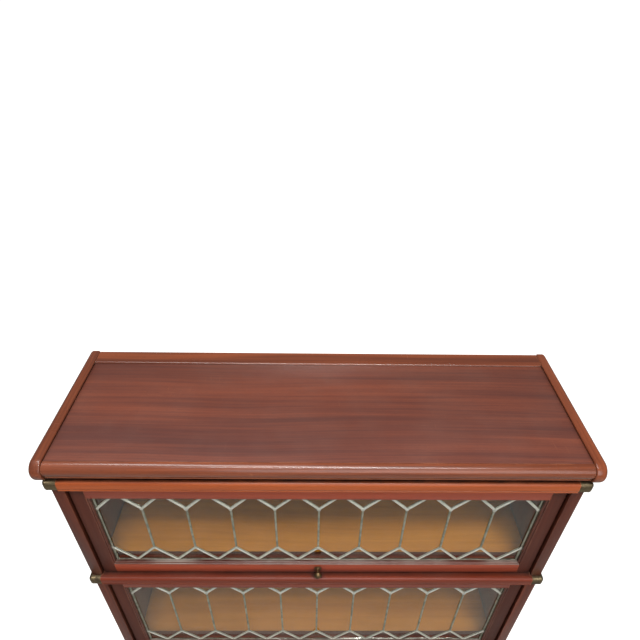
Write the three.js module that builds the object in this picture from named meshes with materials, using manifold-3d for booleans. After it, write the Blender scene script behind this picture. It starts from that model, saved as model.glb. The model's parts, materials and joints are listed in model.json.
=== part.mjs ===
// A sectional (stacking) barrister bookcase in mahogany: plinth base, three glazed sections and a
// top unit. Each door hangs on two pins, lifts up to level and runs back over the books.
//
// Units are millimetres. X runs to the right, Y from front to back and Z up. Pieces are drawn with
// Y = 0 on the front edges of the side panels and Z = 0 on the floor. The whole is then moved so
// that the origin is the middle of its footprint.

import * as THREE from 'three';
import { mergeVertices } from 'three/addons/utils/BufferGeometryUtils.js';
import Module from 'manifold-3d';

const wasm = await Module();
wasm.setup();

// ---- Driving dimensions ----

const GAP = 0.3;                  // joint gap between pieces that rest on each other
const OVERRUN = 1;                // how far a cutting shape runs past the face that it cuts

const SECTION = {
  halfWidth: 432,
  depth: 268,
  sideThickness: 20,
  backThickness: 8,
};

const TIERS = [
  { name: 'lower', height: 340, runBack: 232 },
  { name: 'middle', height: 340, runBack: 232 },
  { name: 'upper', height: 288, runBack: 198 },
];

const BASE = { height: 100, thickness: 20, overhang: 14, plinthDrop: 30, neck: 9 };

const CAP = {
  height: 41,
  halfWidth: 447,
  endThickness: 19.7,
  front: -13.8,
  back: 276,
  panelDrop: 4,
  panelThickness: 20,
  nosingRadius: 14,
  nosingFront: -10.5,
  nosingTongue: { front: 7, back: 22 },
  backRail: { depth: 34, drop: 1.5 },
  endRounding: 3,
};

const RAIL = { height: 21, front: -9, back: 20, halfWidth: 414.7, rounding: 3 };

const BAND = { outer: 438, inner: 415, wall: 5.7, cornerRadius: 7 };

const SHELF = { thickness: 17.4, lippingFront: 26, lippingDepth: 14 };

const DOOR = {
  front: 5,
  thickness: 18,
  sideClearance: 3,
  topClearance: 5.5,
  bottomClearance: 1.8,
  stileWidth: 27,
  topRailWidth: 35.2,
  bottomRailWidth: 30.5,
  mouldingWidth: 4,
  glassDepth: 8.5,              // from the door's face back to the front of the rebate
  rebateWidth: 8,
};

const GLAZING = {
  panes: 10,
  pitch: 76.2,
  apexHeight: 40,
  cameWidth: 5,
  cameThickness: 1.1,
  glassThickness: 3,
  fitClearance: 1.5,
};

const PIN = { radius: 3, length: 19.5, inDoor: 12, holeClearance: 0.3, drop: 34.5 };
const GROOVE = { clearance: 0.4, depth: 8 };

const KNOB = {
  reach: 18.7,
  headRadius: 7.5,
  headHalfLength: 6,
  neck: 6.4,                    // from the middle of the head back to the stem
  stemRadius: 3.4,
  roseRadius: 7,
  roseEdge: 1.1,
  roseThickness: 1.8,
};

const ARC_STEPS = 10;
const ROUND_SEGMENTS = 24;

// ---- Sizes worked out from them ----

const SIDE_INNER = SECTION.halfWidth - SECTION.sideThickness;
const DOOR_HALF_WIDTH = SIDE_INNER - DOOR.sideClearance;
const DOOR_BACK = DOOR.front + DOOR.thickness;
const SIGHT_HALF_WIDTH = DOOR_HALF_WIDTH - DOOR.stileWidth;
const REBATE_FRONT = DOOR.front + DOOR.glassDepth;
const PIN_Y = DOOR.front + DOOR.thickness / 2;
const STACK_HEIGHT = TIERS.reduce((sum, tier) => sum + tier.height, BASE.height);
const FRONT_MOST = DOOR.front - GAP - KNOB.reach;
const FOOTPRINT_MIDDLE = (Math.min(FRONT_MOST, CAP.front, -BASE.overhang) + CAP.back) / 2;

// ---- Materials ----

const finish = (color, roughness, metalness = 0, opacity = 1) =>
  new THREE.MeshStandardMaterial({ color, roughness, metalness, opacity, transparent: opacity < 1 });

const MAHOGANY = finish(0x7a3a24, 0.35);
const MAHOGANY_TOP = finish(0x8c5547, 0.3);
const DOOR_MAHOGANY = finish(0x6e3a28, 0.4);
const SHELF_WOOD = finish(0xa9723d, 0.55);
const GLASS = finish(0xbfc8bd, 0.05, 0, 0.35);
const LEAD = finish(0xb9bcae, 0.5, 0.8);
const BRONZE = finish(0x3d3f36, 0.45, 0.9);
const BRASS = finish(0xa88a4a, 0.35, 0.9);
const STEEL = finish(0x8a8c8e, 0.35, 1);

// ---- Shape helpers ----

const AXIS_X = new THREE.Vector3(1, 0, 0);
const AXIS_Y = new THREE.Vector3(0, 1, 0);
const AXIS_Z = new THREE.Vector3(0, 0, 1);

function basis(first, second, third) {
  return new THREE.Matrix4().makeBasis(first, second, third);
}

/** A box between two opposite corners. */
function block([x0, y0, z0], [x1, y1, z1]) {
  const geometry = new THREE.BoxGeometry(x1 - x0, y1 - y0, z1 - z0);
  return geometry.translate((x0 + x1) / 2, (y0 + y1) / 2, (z0 + z1) / 2);
}

/** A flat outline pushed out from z = 0 to z = depth, with its long edges rounded if asked. */
function pushOut(shape, depth, rounding = 0) {
  return new THREE.ExtrudeGeometry(shape, {
    depth: depth - 2 * rounding,
    bevelEnabled: rounding > 0,
    bevelThickness: rounding,
    bevelSize: rounding,
    bevelOffset: -rounding,
    bevelSegments: 3,
    curveSegments: ARC_STEPS,
    steps: 1,
  }).translate(0, 0, rounding);
}

/** A (Y, Z) section run along X from x0 to x1. */
function runAlongX(shape, x0, x1, rounding = 0) {
  const geometry = pushOut(shape, x1 - x0, rounding);
  return geometry.applyMatrix4(basis(AXIS_Y, AXIS_Z, AXIS_X)).translate(x0, 0, 0);
}

/** An (X, Y) plan raised from z0 to z1. */
function raise(shape, z0, z1) {
  return pushOut(shape, z1 - z0).translate(0, 0, z0);
}

/** An (X, Z) elevation with its front at y0 and its back at y1. */
function thicken(shape, y0, y1) {
  const geometry = pushOut(shape, y1 - y0);
  return geometry.applyMatrix4(basis(AXIS_X, AXIS_Z, AXIS_Y.clone().negate())).translate(0, y1, 0);
}

function outline(points) {
  return new THREE.Shape(points.map(([x, y]) => new THREE.Vector2(x, y)));
}

function toSolid(geometry) {
  const bare = geometry.clone();
  bare.deleteAttribute('normal');
  bare.deleteAttribute('uv');
  const merged = mergeVertices(bare, 1e-4);
  return new wasm.Manifold(new wasm.Mesh({
    numProp: 3,
    vertProperties: new Float32Array(merged.attributes.position.array),
    triVerts: new Uint32Array(merged.index.array),
  }));
}

function toGeometry(solid) {
  const mesh = solid.getMesh();
  const geometry = new THREE.BufferGeometry();
  geometry.setAttribute('position', new THREE.BufferAttribute(mesh.vertProperties, 3));
  geometry.setIndex(new THREE.BufferAttribute(mesh.triVerts, 1));
  geometry.computeVertexNormals();
  return geometry;
}

function cut(body, ...tools) {
  return toGeometry(tools.reduce((solid, tool) => solid.subtract(toSolid(tool)), toSolid(body)));
}

function join(first, second) {
  return toGeometry(toSolid(first).add(toSolid(second)));
}

/** The same shape on the other side of the X = 0 plane, with its faces still pointing out. */
function mirrored(geometry) {
  const copy = geometry.clone().scale(-1, 1, 1);
  const flat = copy.index ? copy.toNonIndexed() : copy;
  const position = flat.attributes.position;
  const swapped = new Float32Array(position.array.length);
  for (let i = 0; i < position.count; i += 3) {
    [0, 2, 1].forEach((from, to) => {
      position.array.slice((i + from) * 3, (i + from) * 3 + 3)
        .forEach((value, axis) => { swapped[(i + to) * 3 + axis] = value; });
    });
  }
  const result = new THREE.BufferGeometry();
  result.setAttribute('position', new THREE.BufferAttribute(swapped, 3));
  result.computeVertexNormals();
  return result;
}

function piece(name, geometry, material, place = [0, 0, 0]) {
  const mesh = new THREE.Mesh(geometry, material);
  mesh.name = name;
  mesh.position.set(...place);
  return mesh;
}

/** A left and a right piece from the geometry of the right one. */
function pair(name, geometry, material) {
  return [
    piece(`${name}_left`, mirrored(geometry), material),
    piece(`${name}_right`, geometry, material),
  ];
}

// ---- The carcase of a section, with z = 0 at its top ----

function sidePanel(tier) {
  const { halfWidth, depth } = SECTION;
  const panel = block([SIDE_INNER, 0, GAP - tier.height], [halfWidth, depth, 0]);
  const reach = PIN.radius + GROOVE.clearance;
  const groove = block(
    [SIDE_INNER - OVERRUN, PIN_Y - reach, -PIN.drop - reach],
    [SIDE_INNER + GROOVE.depth, PIN_Y + tier.runBack + reach, -PIN.drop + reach],
  );
  return cut(panel, groove);
}

function backPanel(tier) {
  const front = SECTION.depth - SECTION.backThickness;
  return block(
    [GAP - SIDE_INNER, front, GAP - tier.height],
    [SIDE_INNER - GAP, SECTION.depth, -GAP],
  );
}

function shelfBoard(tier) {
  const front = SHELF.lippingFront + SHELF.lippingDepth + GAP;
  const back = SECTION.depth - SECTION.backThickness - GAP;
  const bottom = GAP - tier.height;
  return block(
    [GAP - SIDE_INNER, front, bottom],
    [SIDE_INNER - GAP, back, bottom + SHELF.thickness],
  );
}

function shelfLipping(tier) {
  const bottom = GAP - tier.height;
  return block(
    [GAP - SIDE_INNER, SHELF.lippingFront, bottom],
    [SIDE_INNER - GAP, SHELF.lippingFront + SHELF.lippingDepth, bottom + SHELF.thickness],
  );
}

/** The rail over the door: a moulded face in front of the side panels and a body between them. */
function crossRail() {
  const { height, front, back, halfWidth, rounding } = RAIL;
  const face = new THREE.Shape();
  face.moveTo(0, 0);
  face.lineTo(front + rounding, 0);
  face.absarc(front + rounding, -rounding, rounding, Math.PI / 2, Math.PI, false);
  face.lineTo(front, rounding - height);
  face.absarc(front + rounding, rounding - height, rounding, Math.PI, 1.5 * Math.PI, false);
  face.lineTo(0, -height);
  const moulding = runAlongX(face, -halfWidth, halfWidth);
  const body = block([GAP - SIDE_INNER, -OVERRUN, -height], [SIDE_INNER - GAP, back, 0]);
  const seat = block(
    [SIDE_INNER - GAP, -GAP, -height - OVERRUN],
    [halfWidth + OVERRUN, OVERRUN, OVERRUN],
  );
  return cut(join(moulding, body), seat, mirrored(seat));
}

/** A metal band along a side panel's top edge, turned round its front edge. */
function sideBand() {
  const { outer, inner, wall, cornerRadius } = BAND;
  const { front } = RAIL;
  const sideFace = outer - wall;
  const cornerX = outer - cornerRadius;
  const plan = new THREE.Shape();
  plan.moveTo(inner, front);
  plan.lineTo(cornerX, front);
  plan.absarc(cornerX, front + cornerRadius, cornerRadius, 1.5 * Math.PI, 2 * Math.PI, false);
  plan.lineTo(outer, SECTION.depth);
  plan.lineTo(sideFace, SECTION.depth);
  plan.lineTo(sideFace, -GAP);
  plan.lineTo(inner, -GAP);
  return raise(plan, -RAIL.height, -GAP);
}

// ---- A door, with z = 0 at the top of its section ----

/** The door's outer edges and its sight, the part of the glass that shows. */
function doorSizes(tier) {
  const top = -RAIL.height - DOOR.topClearance;
  const bottom = DOOR.bottomClearance - tier.height;
  return {
    top,
    bottom,
    sightTop: top - DOOR.topRailWidth,
    sightBottom: bottom + DOOR.bottomRailWidth,
  };
}

/** The opening in the door frame: splayed in front of the glass, rebated behind it. */
function doorOpening(size) {
  const { mouldingWidth, glassDepth, rebateWidth } = DOOR;
  const spread = mouldingWidth * (1 + OVERRUN / glassDepth);
  const ring = (grow, y) => [
    [-SIGHT_HALF_WIDTH - grow, y, size.sightBottom - grow],
    [SIGHT_HALF_WIDTH + grow, y, size.sightBottom - grow],
    [SIGHT_HALF_WIDTH + grow, y, size.sightTop + grow],
    [-SIGHT_HALF_WIDTH - grow, y, size.sightTop + grow],
  ];
  const corners = [...ring(spread, DOOR.front - OVERRUN), ...ring(0, REBATE_FRONT + GAP)];
  const splay = new THREE.BufferGeometry();
  splay.setAttribute('position', new THREE.Float32BufferAttribute(corners.flat(), 3));
  splay.setIndex([
    0, 1, 2, 0, 2, 3,
    4, 6, 5, 4, 7, 6,
    0, 4, 5, 0, 5, 1,
    1, 5, 6, 1, 6, 2,
    2, 6, 7, 2, 7, 3,
    3, 7, 4, 3, 4, 0,
  ]);
  const rebate = block(
    [-SIGHT_HALF_WIDTH - rebateWidth, REBATE_FRONT, size.sightBottom - rebateWidth],
    [SIGHT_HALF_WIDTH + rebateWidth, DOOR_BACK + OVERRUN, size.sightTop + rebateWidth],
  );
  return [splay, rebate];
}

function pinRod(radius, x0, x1) {
  const rod = new THREE.CylinderGeometry(radius, radius, x1 - x0, ROUND_SEGMENTS);
  return rod.rotateZ(Math.PI / 2).translate((x0 + x1) / 2, PIN_Y, -PIN.drop);
}

function doorStile(size) {
  const board = block(
    [SIGHT_HALF_WIDTH, DOOR.front, size.bottom],
    [DOOR_HALF_WIDTH, DOOR_BACK, size.top],
  );
  const holeEnd = DOOR_HALF_WIDTH - PIN.inDoor - GAP;
  const hole = pinRod(PIN.radius + PIN.holeClearance, holeEnd, DOOR_HALF_WIDTH + OVERRUN);
  return cut(board, ...doorOpening(size), hole);
}

function doorRail(size, bottom, top) {
  const board = block(
    [GAP - SIGHT_HALF_WIDTH, DOOR.front, bottom],
    [SIGHT_HALF_WIDTH - GAP, DOOR_BACK, top],
  );
  return cut(board, ...doorOpening(size));
}

/** Moves each edge of a convex outline, listed anticlockwise, inwards by the same distance. */
function inset(points, distance) {
  const moved = points.map(([x0, y0], i) => {
    const [x1, y1] = points[(i + 1) % points.length];
    const length = Math.hypot(x1 - x0, y1 - y0);
    const direction = [(x1 - x0) / length, (y1 - y0) / length];
    return { through: [x0 - direction[1] * distance, y0 + direction[0] * distance], direction };
  });
  return moved.map((edge, i) => {
    const last = moved[(i + moved.length - 1) % moved.length];
    const cross = last.direction[0] * edge.direction[1] - last.direction[1] * edge.direction[0];
    const dx = edge.through[0] - last.through[0];
    const dy = edge.through[1] - last.through[1];
    const along = (dx * edge.direction[1] - dy * edge.direction[0]) / cross;
    return [last.through[0] + last.direction[0] * along, last.through[1] + last.direction[1] * along];
  });
}

/** The panes of a door: long hexagons in a row, and the triangles left between their points. */
function paneOutlines(top, bottom) {
  const { panes, pitch, apexHeight } = GLAZING;
  const shoulder = top - apexHeight;
  const foot = bottom + apexHeight;
  const nodeX = (i) => (i - panes / 2) * pitch;
  const apexX = (i) => THREE.MathUtils.clamp(nodeX(i) + pitch / 2, nodeX(0), nodeX(panes));
  const outlines = [];
  for (let i = 0; i < panes; i += 1) {
    outlines.push([
      [nodeX(i), foot],
      [apexX(i), bottom],
      [nodeX(i + 1), foot],
      [nodeX(i + 1), shoulder],
      [apexX(i), top],
      [nodeX(i), shoulder],
    ]);
  }
  for (let i = 0; i <= panes; i += 1) {
    outlines.push([[apexX(i - 1), top], [nodeX(i), shoulder], [apexX(i), top]]);
    outlines.push([[apexX(i - 1), bottom], [apexX(i), bottom], [nodeX(i), foot]]);
  }
  return outlines;
}

/** The lead cames as one lattice, its outer came hidden in the rebate at top and bottom. */
function doorLeading(size) {
  const half = GLAZING.cameWidth / 2;
  const edge = DOOR.rebateWidth - GLAZING.fitClearance;
  const front = REBATE_FRONT + GAP;
  const back = front + GLAZING.cameThickness;
  const sheet = block(
    [-SIGHT_HALF_WIDTH - edge, front, size.sightBottom - edge],
    [SIGHT_HALF_WIDTH + edge, back, size.sightTop + edge],
  );
  const openings = paneOutlines(size.sightTop + half, size.sightBottom - half)
    .map((points) => outline(inset(points, half)))
    .map((shape) => thicken(shape, front - OVERRUN, back + OVERRUN));
  return cut(sheet, ...openings);
}

function doorGlass(size) {
  const edge = DOOR.rebateWidth - GLAZING.fitClearance;
  const front = REBATE_FRONT + 2 * GAP + GLAZING.cameThickness;
  return block(
    [-SIGHT_HALF_WIDTH - edge, front, size.sightBottom - edge],
    [SIGHT_HALF_WIDTH + edge, front + GLAZING.glassThickness, size.sightTop + edge],
  );
}

/** A turned knob standing out along -Y from its seat at the origin. */
function doorKnob() {
  const { headRadius, headHalfLength, stemRadius, roseRadius } = KNOB;
  const headCentre = KNOB.reach - headHalfLength;
  const profile = new THREE.Path();
  profile.moveTo(0, 0);
  profile.lineTo(roseRadius, 0);
  profile.lineTo(roseRadius, KNOB.roseEdge);
  profile.lineTo(stemRadius, KNOB.roseThickness);
  profile.lineTo(stemRadius, headCentre - KNOB.neck);
  profile.absellipse(0, headCentre, headRadius, headHalfLength, -0.3 * Math.PI, 0.5 * Math.PI, false);
  const points = profile.getPoints(ARC_STEPS);
  points[points.length - 1].x = 0;
  return new THREE.LatheGeometry(points, ROUND_SEGMENTS).rotateX(Math.PI);
}

function doorPieces(tier) {
  const size = doorSizes(tier);
  const name = `${tier.name}_door`;
  const pinStart = DOOR_HALF_WIDTH - PIN.inDoor;
  const knobHeight = (size.bottom + size.sightBottom - DOOR.mouldingWidth) / 2;
  return [
    ...pair(`${name}_stile`, doorStile(size), DOOR_MAHOGANY),
    piece(`${name}_top_rail`, doorRail(size, size.sightTop, size.top), DOOR_MAHOGANY),
    piece(`${name}_bottom_rail`, doorRail(size, size.bottom, size.sightBottom), DOOR_MAHOGANY),
    piece(`${name}_leading`, doorLeading(size), LEAD),
    piece(`${name}_glass`, doorGlass(size), GLASS),
    piece(`${name}_knob`, doorKnob(), BRASS, [0, DOOR.front - GAP, knobHeight]),
    ...pair(`${name}_pin`, pinRod(PIN.radius, pinStart, pinStart + PIN.length), STEEL),
  ];
}

// ---- The three kinds of unit ----

function section(tier, top) {
  const group = new THREE.Group();
  const { name } = tier;
  group.add(
    ...pair(`${name}_side`, sidePanel(tier), MAHOGANY),
    piece(`${name}_back_panel`, backPanel(tier), MAHOGANY),
    piece(`${name}_shelf_board`, shelfBoard(tier), SHELF_WOOD),
    piece(`${name}_shelf_lipping`, shelfLipping(tier), MAHOGANY),
    piece(`${name}_cross_rail`, crossRail(), MAHOGANY),
    ...pair(`${name}_band`, sideBand(), BRONZE),
    ...doorPieces(tier),
  );
  group.position.z = top;
  return group;
}

/** The plinth's moulded section, as (distance out from the carcase, height), closed inside. */
function plinthProfile() {
  const { thickness, overhang, plinthDrop, neck } = BASE;
  const top = BASE.height - GAP;
  const shoulder = top - plinthDrop;
  const rise = plinthDrop / 3;
  const cove = overhang - neck;
  const shape = new THREE.Shape();
  shape.moveTo(overhang - thickness, 0);
  shape.lineTo(overhang, 0);
  shape.lineTo(overhang, shoulder);
  shape.absellipse(overhang, shoulder + rise, cove, rise, 1.5 * Math.PI, Math.PI, true);
  shape.lineTo(neck, top);
  shape.lineTo(overhang - thickness, top);
  return shape;
}

/** Everything on one side of a right-hand corner's mitre, from a plan listed anticlockwise. */
function mitreWedge(plan) {
  return raise(outline(plan), -OVERRUN, BASE.height + OVERRUN);
}

/** The front board, mitred at both ends. */
function plinthFront() {
  const reach = SECTION.halfWidth + BASE.overhang;
  const run = pushOut(plinthProfile(), 2 * reach);
  const outwards = AXIS_Y.clone().negate();
  run.applyMatrix4(basis(outwards, AXIS_Z, AXIS_X.clone().negate())).translate(reach, 0, 0);
  const corner = SECTION.halfWidth - GAP / 2;
  const inner = BASE.thickness;
  const outer = 2 * BASE.overhang;
  const wedge = mitreWedge([
    [corner - inner, inner],
    [corner + outer, -outer],
    [corner + outer, inner],
  ]);
  return cut(run, wedge, mirrored(wedge));
}

/** The right-hand board, square at the back and mitred at the front. */
function plinthSide() {
  const { halfWidth, depth } = SECTION;
  const run = pushOut(plinthProfile(), depth + BASE.overhang);
  run.applyMatrix4(basis(AXIS_X, AXIS_Z, AXIS_Y.clone().negate())).translate(halfWidth, depth, 0);
  const corner = halfWidth + GAP / 2;
  const inner = BASE.thickness;
  const outer = 2 * BASE.overhang;
  const wedge = mitreWedge([
    [corner - inner, inner],
    [corner - inner, -outer],
    [corner + outer, -outer],
  ]);
  return cut(run, wedge);
}

function base() {
  const { depth } = SECTION;
  const inside = SECTION.halfWidth + BASE.overhang - BASE.thickness - GAP;
  const group = new THREE.Group();
  group.add(
    piece('base_front', plinthFront(), MAHOGANY),
    ...pair('base_side', plinthSide(), MAHOGANY),
    piece('base_back', block(
      [-inside, depth - BASE.thickness, 0],
      [inside, depth, BASE.height - GAP],
    ), MAHOGANY),
  );
  return group;
}

/** An end piece of the top unit: a thick board with a fully round front. */
function capEnd() {
  const { height, halfWidth, endThickness, front, back, endRounding } = CAP;
  const drop = height - GAP;
  const radius = drop / 2;
  const side = new THREE.Shape();
  side.moveTo(back, 0);
  side.lineTo(front + radius, 0);
  side.absarc(front + radius, -radius, radius, 0.5 * Math.PI, 1.5 * Math.PI, false);
  side.lineTo(back, -drop);
  return runAlongX(side, halfWidth - endThickness, halfWidth, endRounding);
}

function capNosing(halfLength) {
  const { height, panelDrop, panelThickness, nosingRadius, nosingFront, nosingTongue } = CAP;
  const centre = nosingFront + nosingRadius;
  const bottom = GAP - height;
  const underPanel = -panelDrop - panelThickness - GAP;
  const profile = new THREE.Shape();
  profile.moveTo(centre, -panelDrop);
  profile.absarc(centre, -panelDrop - nosingRadius, nosingRadius, 0.5 * Math.PI, 1.5 * Math.PI, false);
  profile.lineTo(nosingTongue.front, -panelDrop - 2 * nosingRadius);
  profile.lineTo(nosingTongue.front, bottom);
  profile.lineTo(nosingTongue.back, bottom);
  profile.lineTo(nosingTongue.back, underPanel);
  profile.lineTo(centre, underPanel);
  return runAlongX(profile, -halfLength, halfLength);
}

function cap(top) {
  const { height, halfWidth, endThickness, back, panelDrop, panelThickness, backRail } = CAP;
  const halfLength = halfWidth - endThickness - GAP;
  const panelFront = CAP.nosingFront + CAP.nosingRadius + GAP;
  const railFront = back - backRail.depth;
  const group = new THREE.Group();
  group.add(
    ...pair('cap_end', capEnd(), MAHOGANY),
    piece('cap_panel', block(
      [-halfLength, panelFront, -panelDrop - panelThickness],
      [halfLength, railFront - GAP, -panelDrop],
    ), MAHOGANY_TOP),
    piece('cap_nosing', capNosing(halfLength), MAHOGANY),
    piece('cap_back_rail', block(
      [-halfLength, railFront, GAP - height],
      [halfLength, back, -backRail.drop],
    ), MAHOGANY),
  );
  group.position.z = top;
  return group;
}

// ---- The bookcase ----

const bookcase = new THREE.Group();
bookcase.add(base());
TIERS.reduce((floor, tier) => {
  const top = floor + tier.height;
  bookcase.add(section(tier, top));
  return top;
}, BASE.height);
bookcase.add(cap(STACK_HEIGHT + CAP.height));
bookcase.position.y = -FOOTPRINT_MIDDLE;

export default bookcase;
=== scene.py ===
"""A mahogany sectional barrister bookcase with leaded glass doors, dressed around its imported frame.

Lengths are in metres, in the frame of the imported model: +X to the viewer's right, +Y from the doors
to the back, +Z up. Each class is one sub-assembly, with its sizes as fields.
"""

import json
import logging
import math
import random
from collections.abc import Callable, Iterable, Sequence
from dataclasses import dataclass, field
from enum import Enum

import bmesh
import bpy
from mathutils import Matrix, Vector


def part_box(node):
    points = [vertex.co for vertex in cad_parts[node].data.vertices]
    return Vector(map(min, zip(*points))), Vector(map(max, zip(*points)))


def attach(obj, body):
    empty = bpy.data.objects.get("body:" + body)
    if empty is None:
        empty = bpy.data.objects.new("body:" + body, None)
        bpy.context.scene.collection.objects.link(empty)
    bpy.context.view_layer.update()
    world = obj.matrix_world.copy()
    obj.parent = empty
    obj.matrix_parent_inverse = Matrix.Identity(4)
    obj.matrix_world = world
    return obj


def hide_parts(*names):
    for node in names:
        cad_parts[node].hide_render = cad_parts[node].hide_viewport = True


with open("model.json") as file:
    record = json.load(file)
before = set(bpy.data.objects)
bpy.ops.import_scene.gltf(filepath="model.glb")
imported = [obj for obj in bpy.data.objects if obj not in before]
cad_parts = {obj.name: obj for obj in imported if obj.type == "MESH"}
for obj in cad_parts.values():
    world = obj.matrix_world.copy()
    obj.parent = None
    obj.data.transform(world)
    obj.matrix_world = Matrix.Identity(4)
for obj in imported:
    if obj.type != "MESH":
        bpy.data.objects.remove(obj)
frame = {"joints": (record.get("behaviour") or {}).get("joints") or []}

log = logging.getLogger("bookcase")

MM = 0.001
SEED_STEP = 0.37
SMOOTH_ANGLE = math.radians(32)

Point = tuple[float, float]
Colour = tuple[float, float, float]


class Grain(Enum):
    """The row axis that a board's grain runs along."""

    ALONG_X = 0
    ALONG_Y = 1
    ALONG_Z = 2


class Side(Enum):
    """Which end of the bookcase, as the sign of its X."""

    LEFT = -1
    RIGHT = 1


class Tier(Enum):
    """The three stacked sections, lowest first."""

    LOWER = "lower"
    MIDDLE = "middle"
    UPPER = "upper"


# ---------------------------------------------------------------------------------------------
# Shader node groups
# ---------------------------------------------------------------------------------------------


def linear(red: int, green: int, blue: int) -> Colour:
    """Turns a display colour, 0 to 255, into the linear colour that shaders take."""
    shares = (red / 255, green / 255, blue / 255)
    return tuple(c / 12.92 if c <= 0.04045 else ((c + 0.055) / 1.055) ** 2.4 for c in shares)


class Nodes:
    """A short way to add nodes and links to one node tree."""

    def __init__(self, tree: bpy.types.NodeTree) -> None:
        """Keeps the tree that nodes are added to."""
        self.tree = tree

    def add(self, kind: str, **settings: object) -> bpy.types.Node:
        """Adds a node and sets its properties and input values.

        Args:
            kind: the node's type, without the ShaderNode in front.
            settings: node properties by name, or "in_" and a socket's name or number for an input.

        Returns:
            The new node.
        """
        node = self.tree.nodes.new("ShaderNode" + kind)
        for key, value in settings.items():
            if not key.startswith("in_"):
                setattr(node, key, value)
        for key, value in settings.items():
            if key.startswith("in_"):
                socket = key[3:].replace("_", " ")
                self.feed(node, int(socket) if socket.isdigit() else socket, value)
        return node

    def feed(self, node: bpy.types.Node, socket: str | int, value: object) -> None:
        """Sets an input socket to a value, or links it if the value is an output socket.

        Args:
            node: the node that takes the value.
            socket: the input's name or number.
            value: a number, a colour or an output socket.
        """
        target = node.inputs[socket]
        if isinstance(value, bpy.types.NodeSocket):
            self.tree.links.new(value, target)
        elif isinstance(value, tuple) and len(value) == 3 and target.type == "RGBA":
            target.default_value = (*value, 1)
        else:
            target.default_value = value

    def math(self, operation: str, first: object, second: object = 0.0) -> bpy.types.NodeSocket:
        """Adds a maths node and returns its output."""
        return self.add("Math", operation=operation, in_0=first, in_1=second).outputs[0]

    def mix(self, share: object, first: object, second: object) -> bpy.types.NodeSocket:
        """Mixes two colours.

        Args:
            share: how much of the second colour there is.
            first: the first colour.
            second: the second colour.

        Returns:
            The mixed colour.
        """
        node = self.add("Mix", data_type="RGBA")
        self.feed(node, 0, share)
        self.feed(node, 6, first)
        self.feed(node, 7, second)
        return node.outputs[2]

    def ramp(self, value: bpy.types.NodeSocket, low: float, high: float) -> bpy.types.NodeSocket:
        """Spreads a value from low..high to 0..1, smoothly and clamped."""
        node = self.add("MapRange", interpolation_type="SMOOTHSTEP", in_0=value, in_1=low, in_2=high)
        return node.outputs[0]

    def noise(
        self, vector: bpy.types.NodeSocket, scale: float, detail: float, **more: float
    ) -> bpy.types.NodeSocket:
        """Adds a noise texture and returns its value."""
        return self.add("TexNoise", in_Vector=vector, in_Scale=scale, in_Detail=detail, **more).outputs[0]

    def stretched(
        self, vector: bpy.types.NodeSocket, scale: tuple[float, float, float]
    ) -> bpy.types.NodeSocket:
        """Scales a vector differently along each axis."""
        return self.add("VectorMath", operation="MULTIPLY", in_0=vector, in_1=scale).outputs[0]


def new_group(
    name: str, inputs: dict[str, tuple[str, object]], outputs: dict[str, str]
) -> tuple[Nodes, dict[str, bpy.types.NodeSocket], bpy.types.Node]:
    """Starts a shader node group.

    Args:
        name: the group's name.
        inputs: each input's socket type and default value.
        outputs: each output's socket type.

    Returns:
        The group's nodes, its input sockets by name, and its output node.
    """
    tree = bpy.data.node_groups.new(name, "ShaderNodeTree")
    for label, (kind, default) in inputs.items():
        socket = tree.interface.new_socket(label, in_out="INPUT", socket_type=kind)
        if default is not None:
            socket.default_value = default
    for label, kind in outputs.items():
        tree.interface.new_socket(label, in_out="OUTPUT", socket_type=kind)
    entry = tree.nodes.new("NodeGroupInput")
    leave = tree.nodes.new("NodeGroupOutput")
    return Nodes(tree), {label: entry.outputs[label] for label in inputs}, leave


FLOAT, COLOUR, VECTOR = "NodeSocketFloat", "NodeSocketColor", "NodeSocketVector"


def build_wood_figure() -> bpy.types.NodeTree:
    """Builds the figure of a polished hardwood: broad bands, ribbon stripe and open pores.

    Returns:
        The group's node tree.
    """
    nodes, given, leave = new_group(
        "wood_figure",
        {
            "Grain": (VECTOR, None),
            "Light": (COLOUR, (0.3, 0.1, 0.05, 1)),
            "Dark": (COLOUR, (0.1, 0.03, 0.02, 1)),
            "Figure": (FLOAT, 0.6),
            "Pores": (FLOAT, 0.5),
        },
        {"Color": COLOUR, "Height": FLOAT},
    )
    grain = given["Grain"]
    sway = nodes.noise(nodes.stretched(grain, (1.6, 1.6, 1.6)), 1.0, 1.0)
    drift = nodes.add("CombineXYZ", in_1=nodes.math("MULTIPLY", sway, 0.05)).outputs[0]
    swayed = nodes.add("VectorMath", operation="ADD", in_0=grain, in_1=drift).outputs[0]
    broad = nodes.noise(nodes.stretched(swayed, (0.9, 24.0, 24.0)), 1.0, 1.0)
    band = nodes.noise(nodes.stretched(swayed, (2.2, 75.0, 75.0)), 1.0, 2.0)
    streak = nodes.noise(nodes.stretched(swayed, (5.0, 330.0, 330.0)), 1.0, 2.0)
    pores = nodes.noise(nodes.stretched(grain, (110.0, 1500.0, 1500.0)), 1.0, 1.0)
    bands = nodes.math("ADD", nodes.math("MULTIPLY", broad, 0.42), nodes.math("MULTIPLY", band, 0.34))
    bands = nodes.math("ADD", bands, nodes.math("MULTIPLY", streak, 0.24))
    shade = nodes.ramp(bands, 0.34, 0.66)
    shade = nodes.math("MULTIPLY", shade, given["Figure"])
    colour = nodes.mix(shade, given["Light"], given["Dark"])
    pits = nodes.math("MULTIPLY", nodes.ramp(pores, 0.60, 0.70), given["Pores"])
    darker = nodes.mix(0.72, colour, given["Dark"])
    colour = nodes.mix(pits, colour, darker)
    height = nodes.math("SUBTRACT", nodes.math("MULTIPLY", streak, 0.25), pits)
    nodes.feed(leave, "Color", colour)
    nodes.feed(leave, "Height", height)
    return nodes.tree


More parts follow.
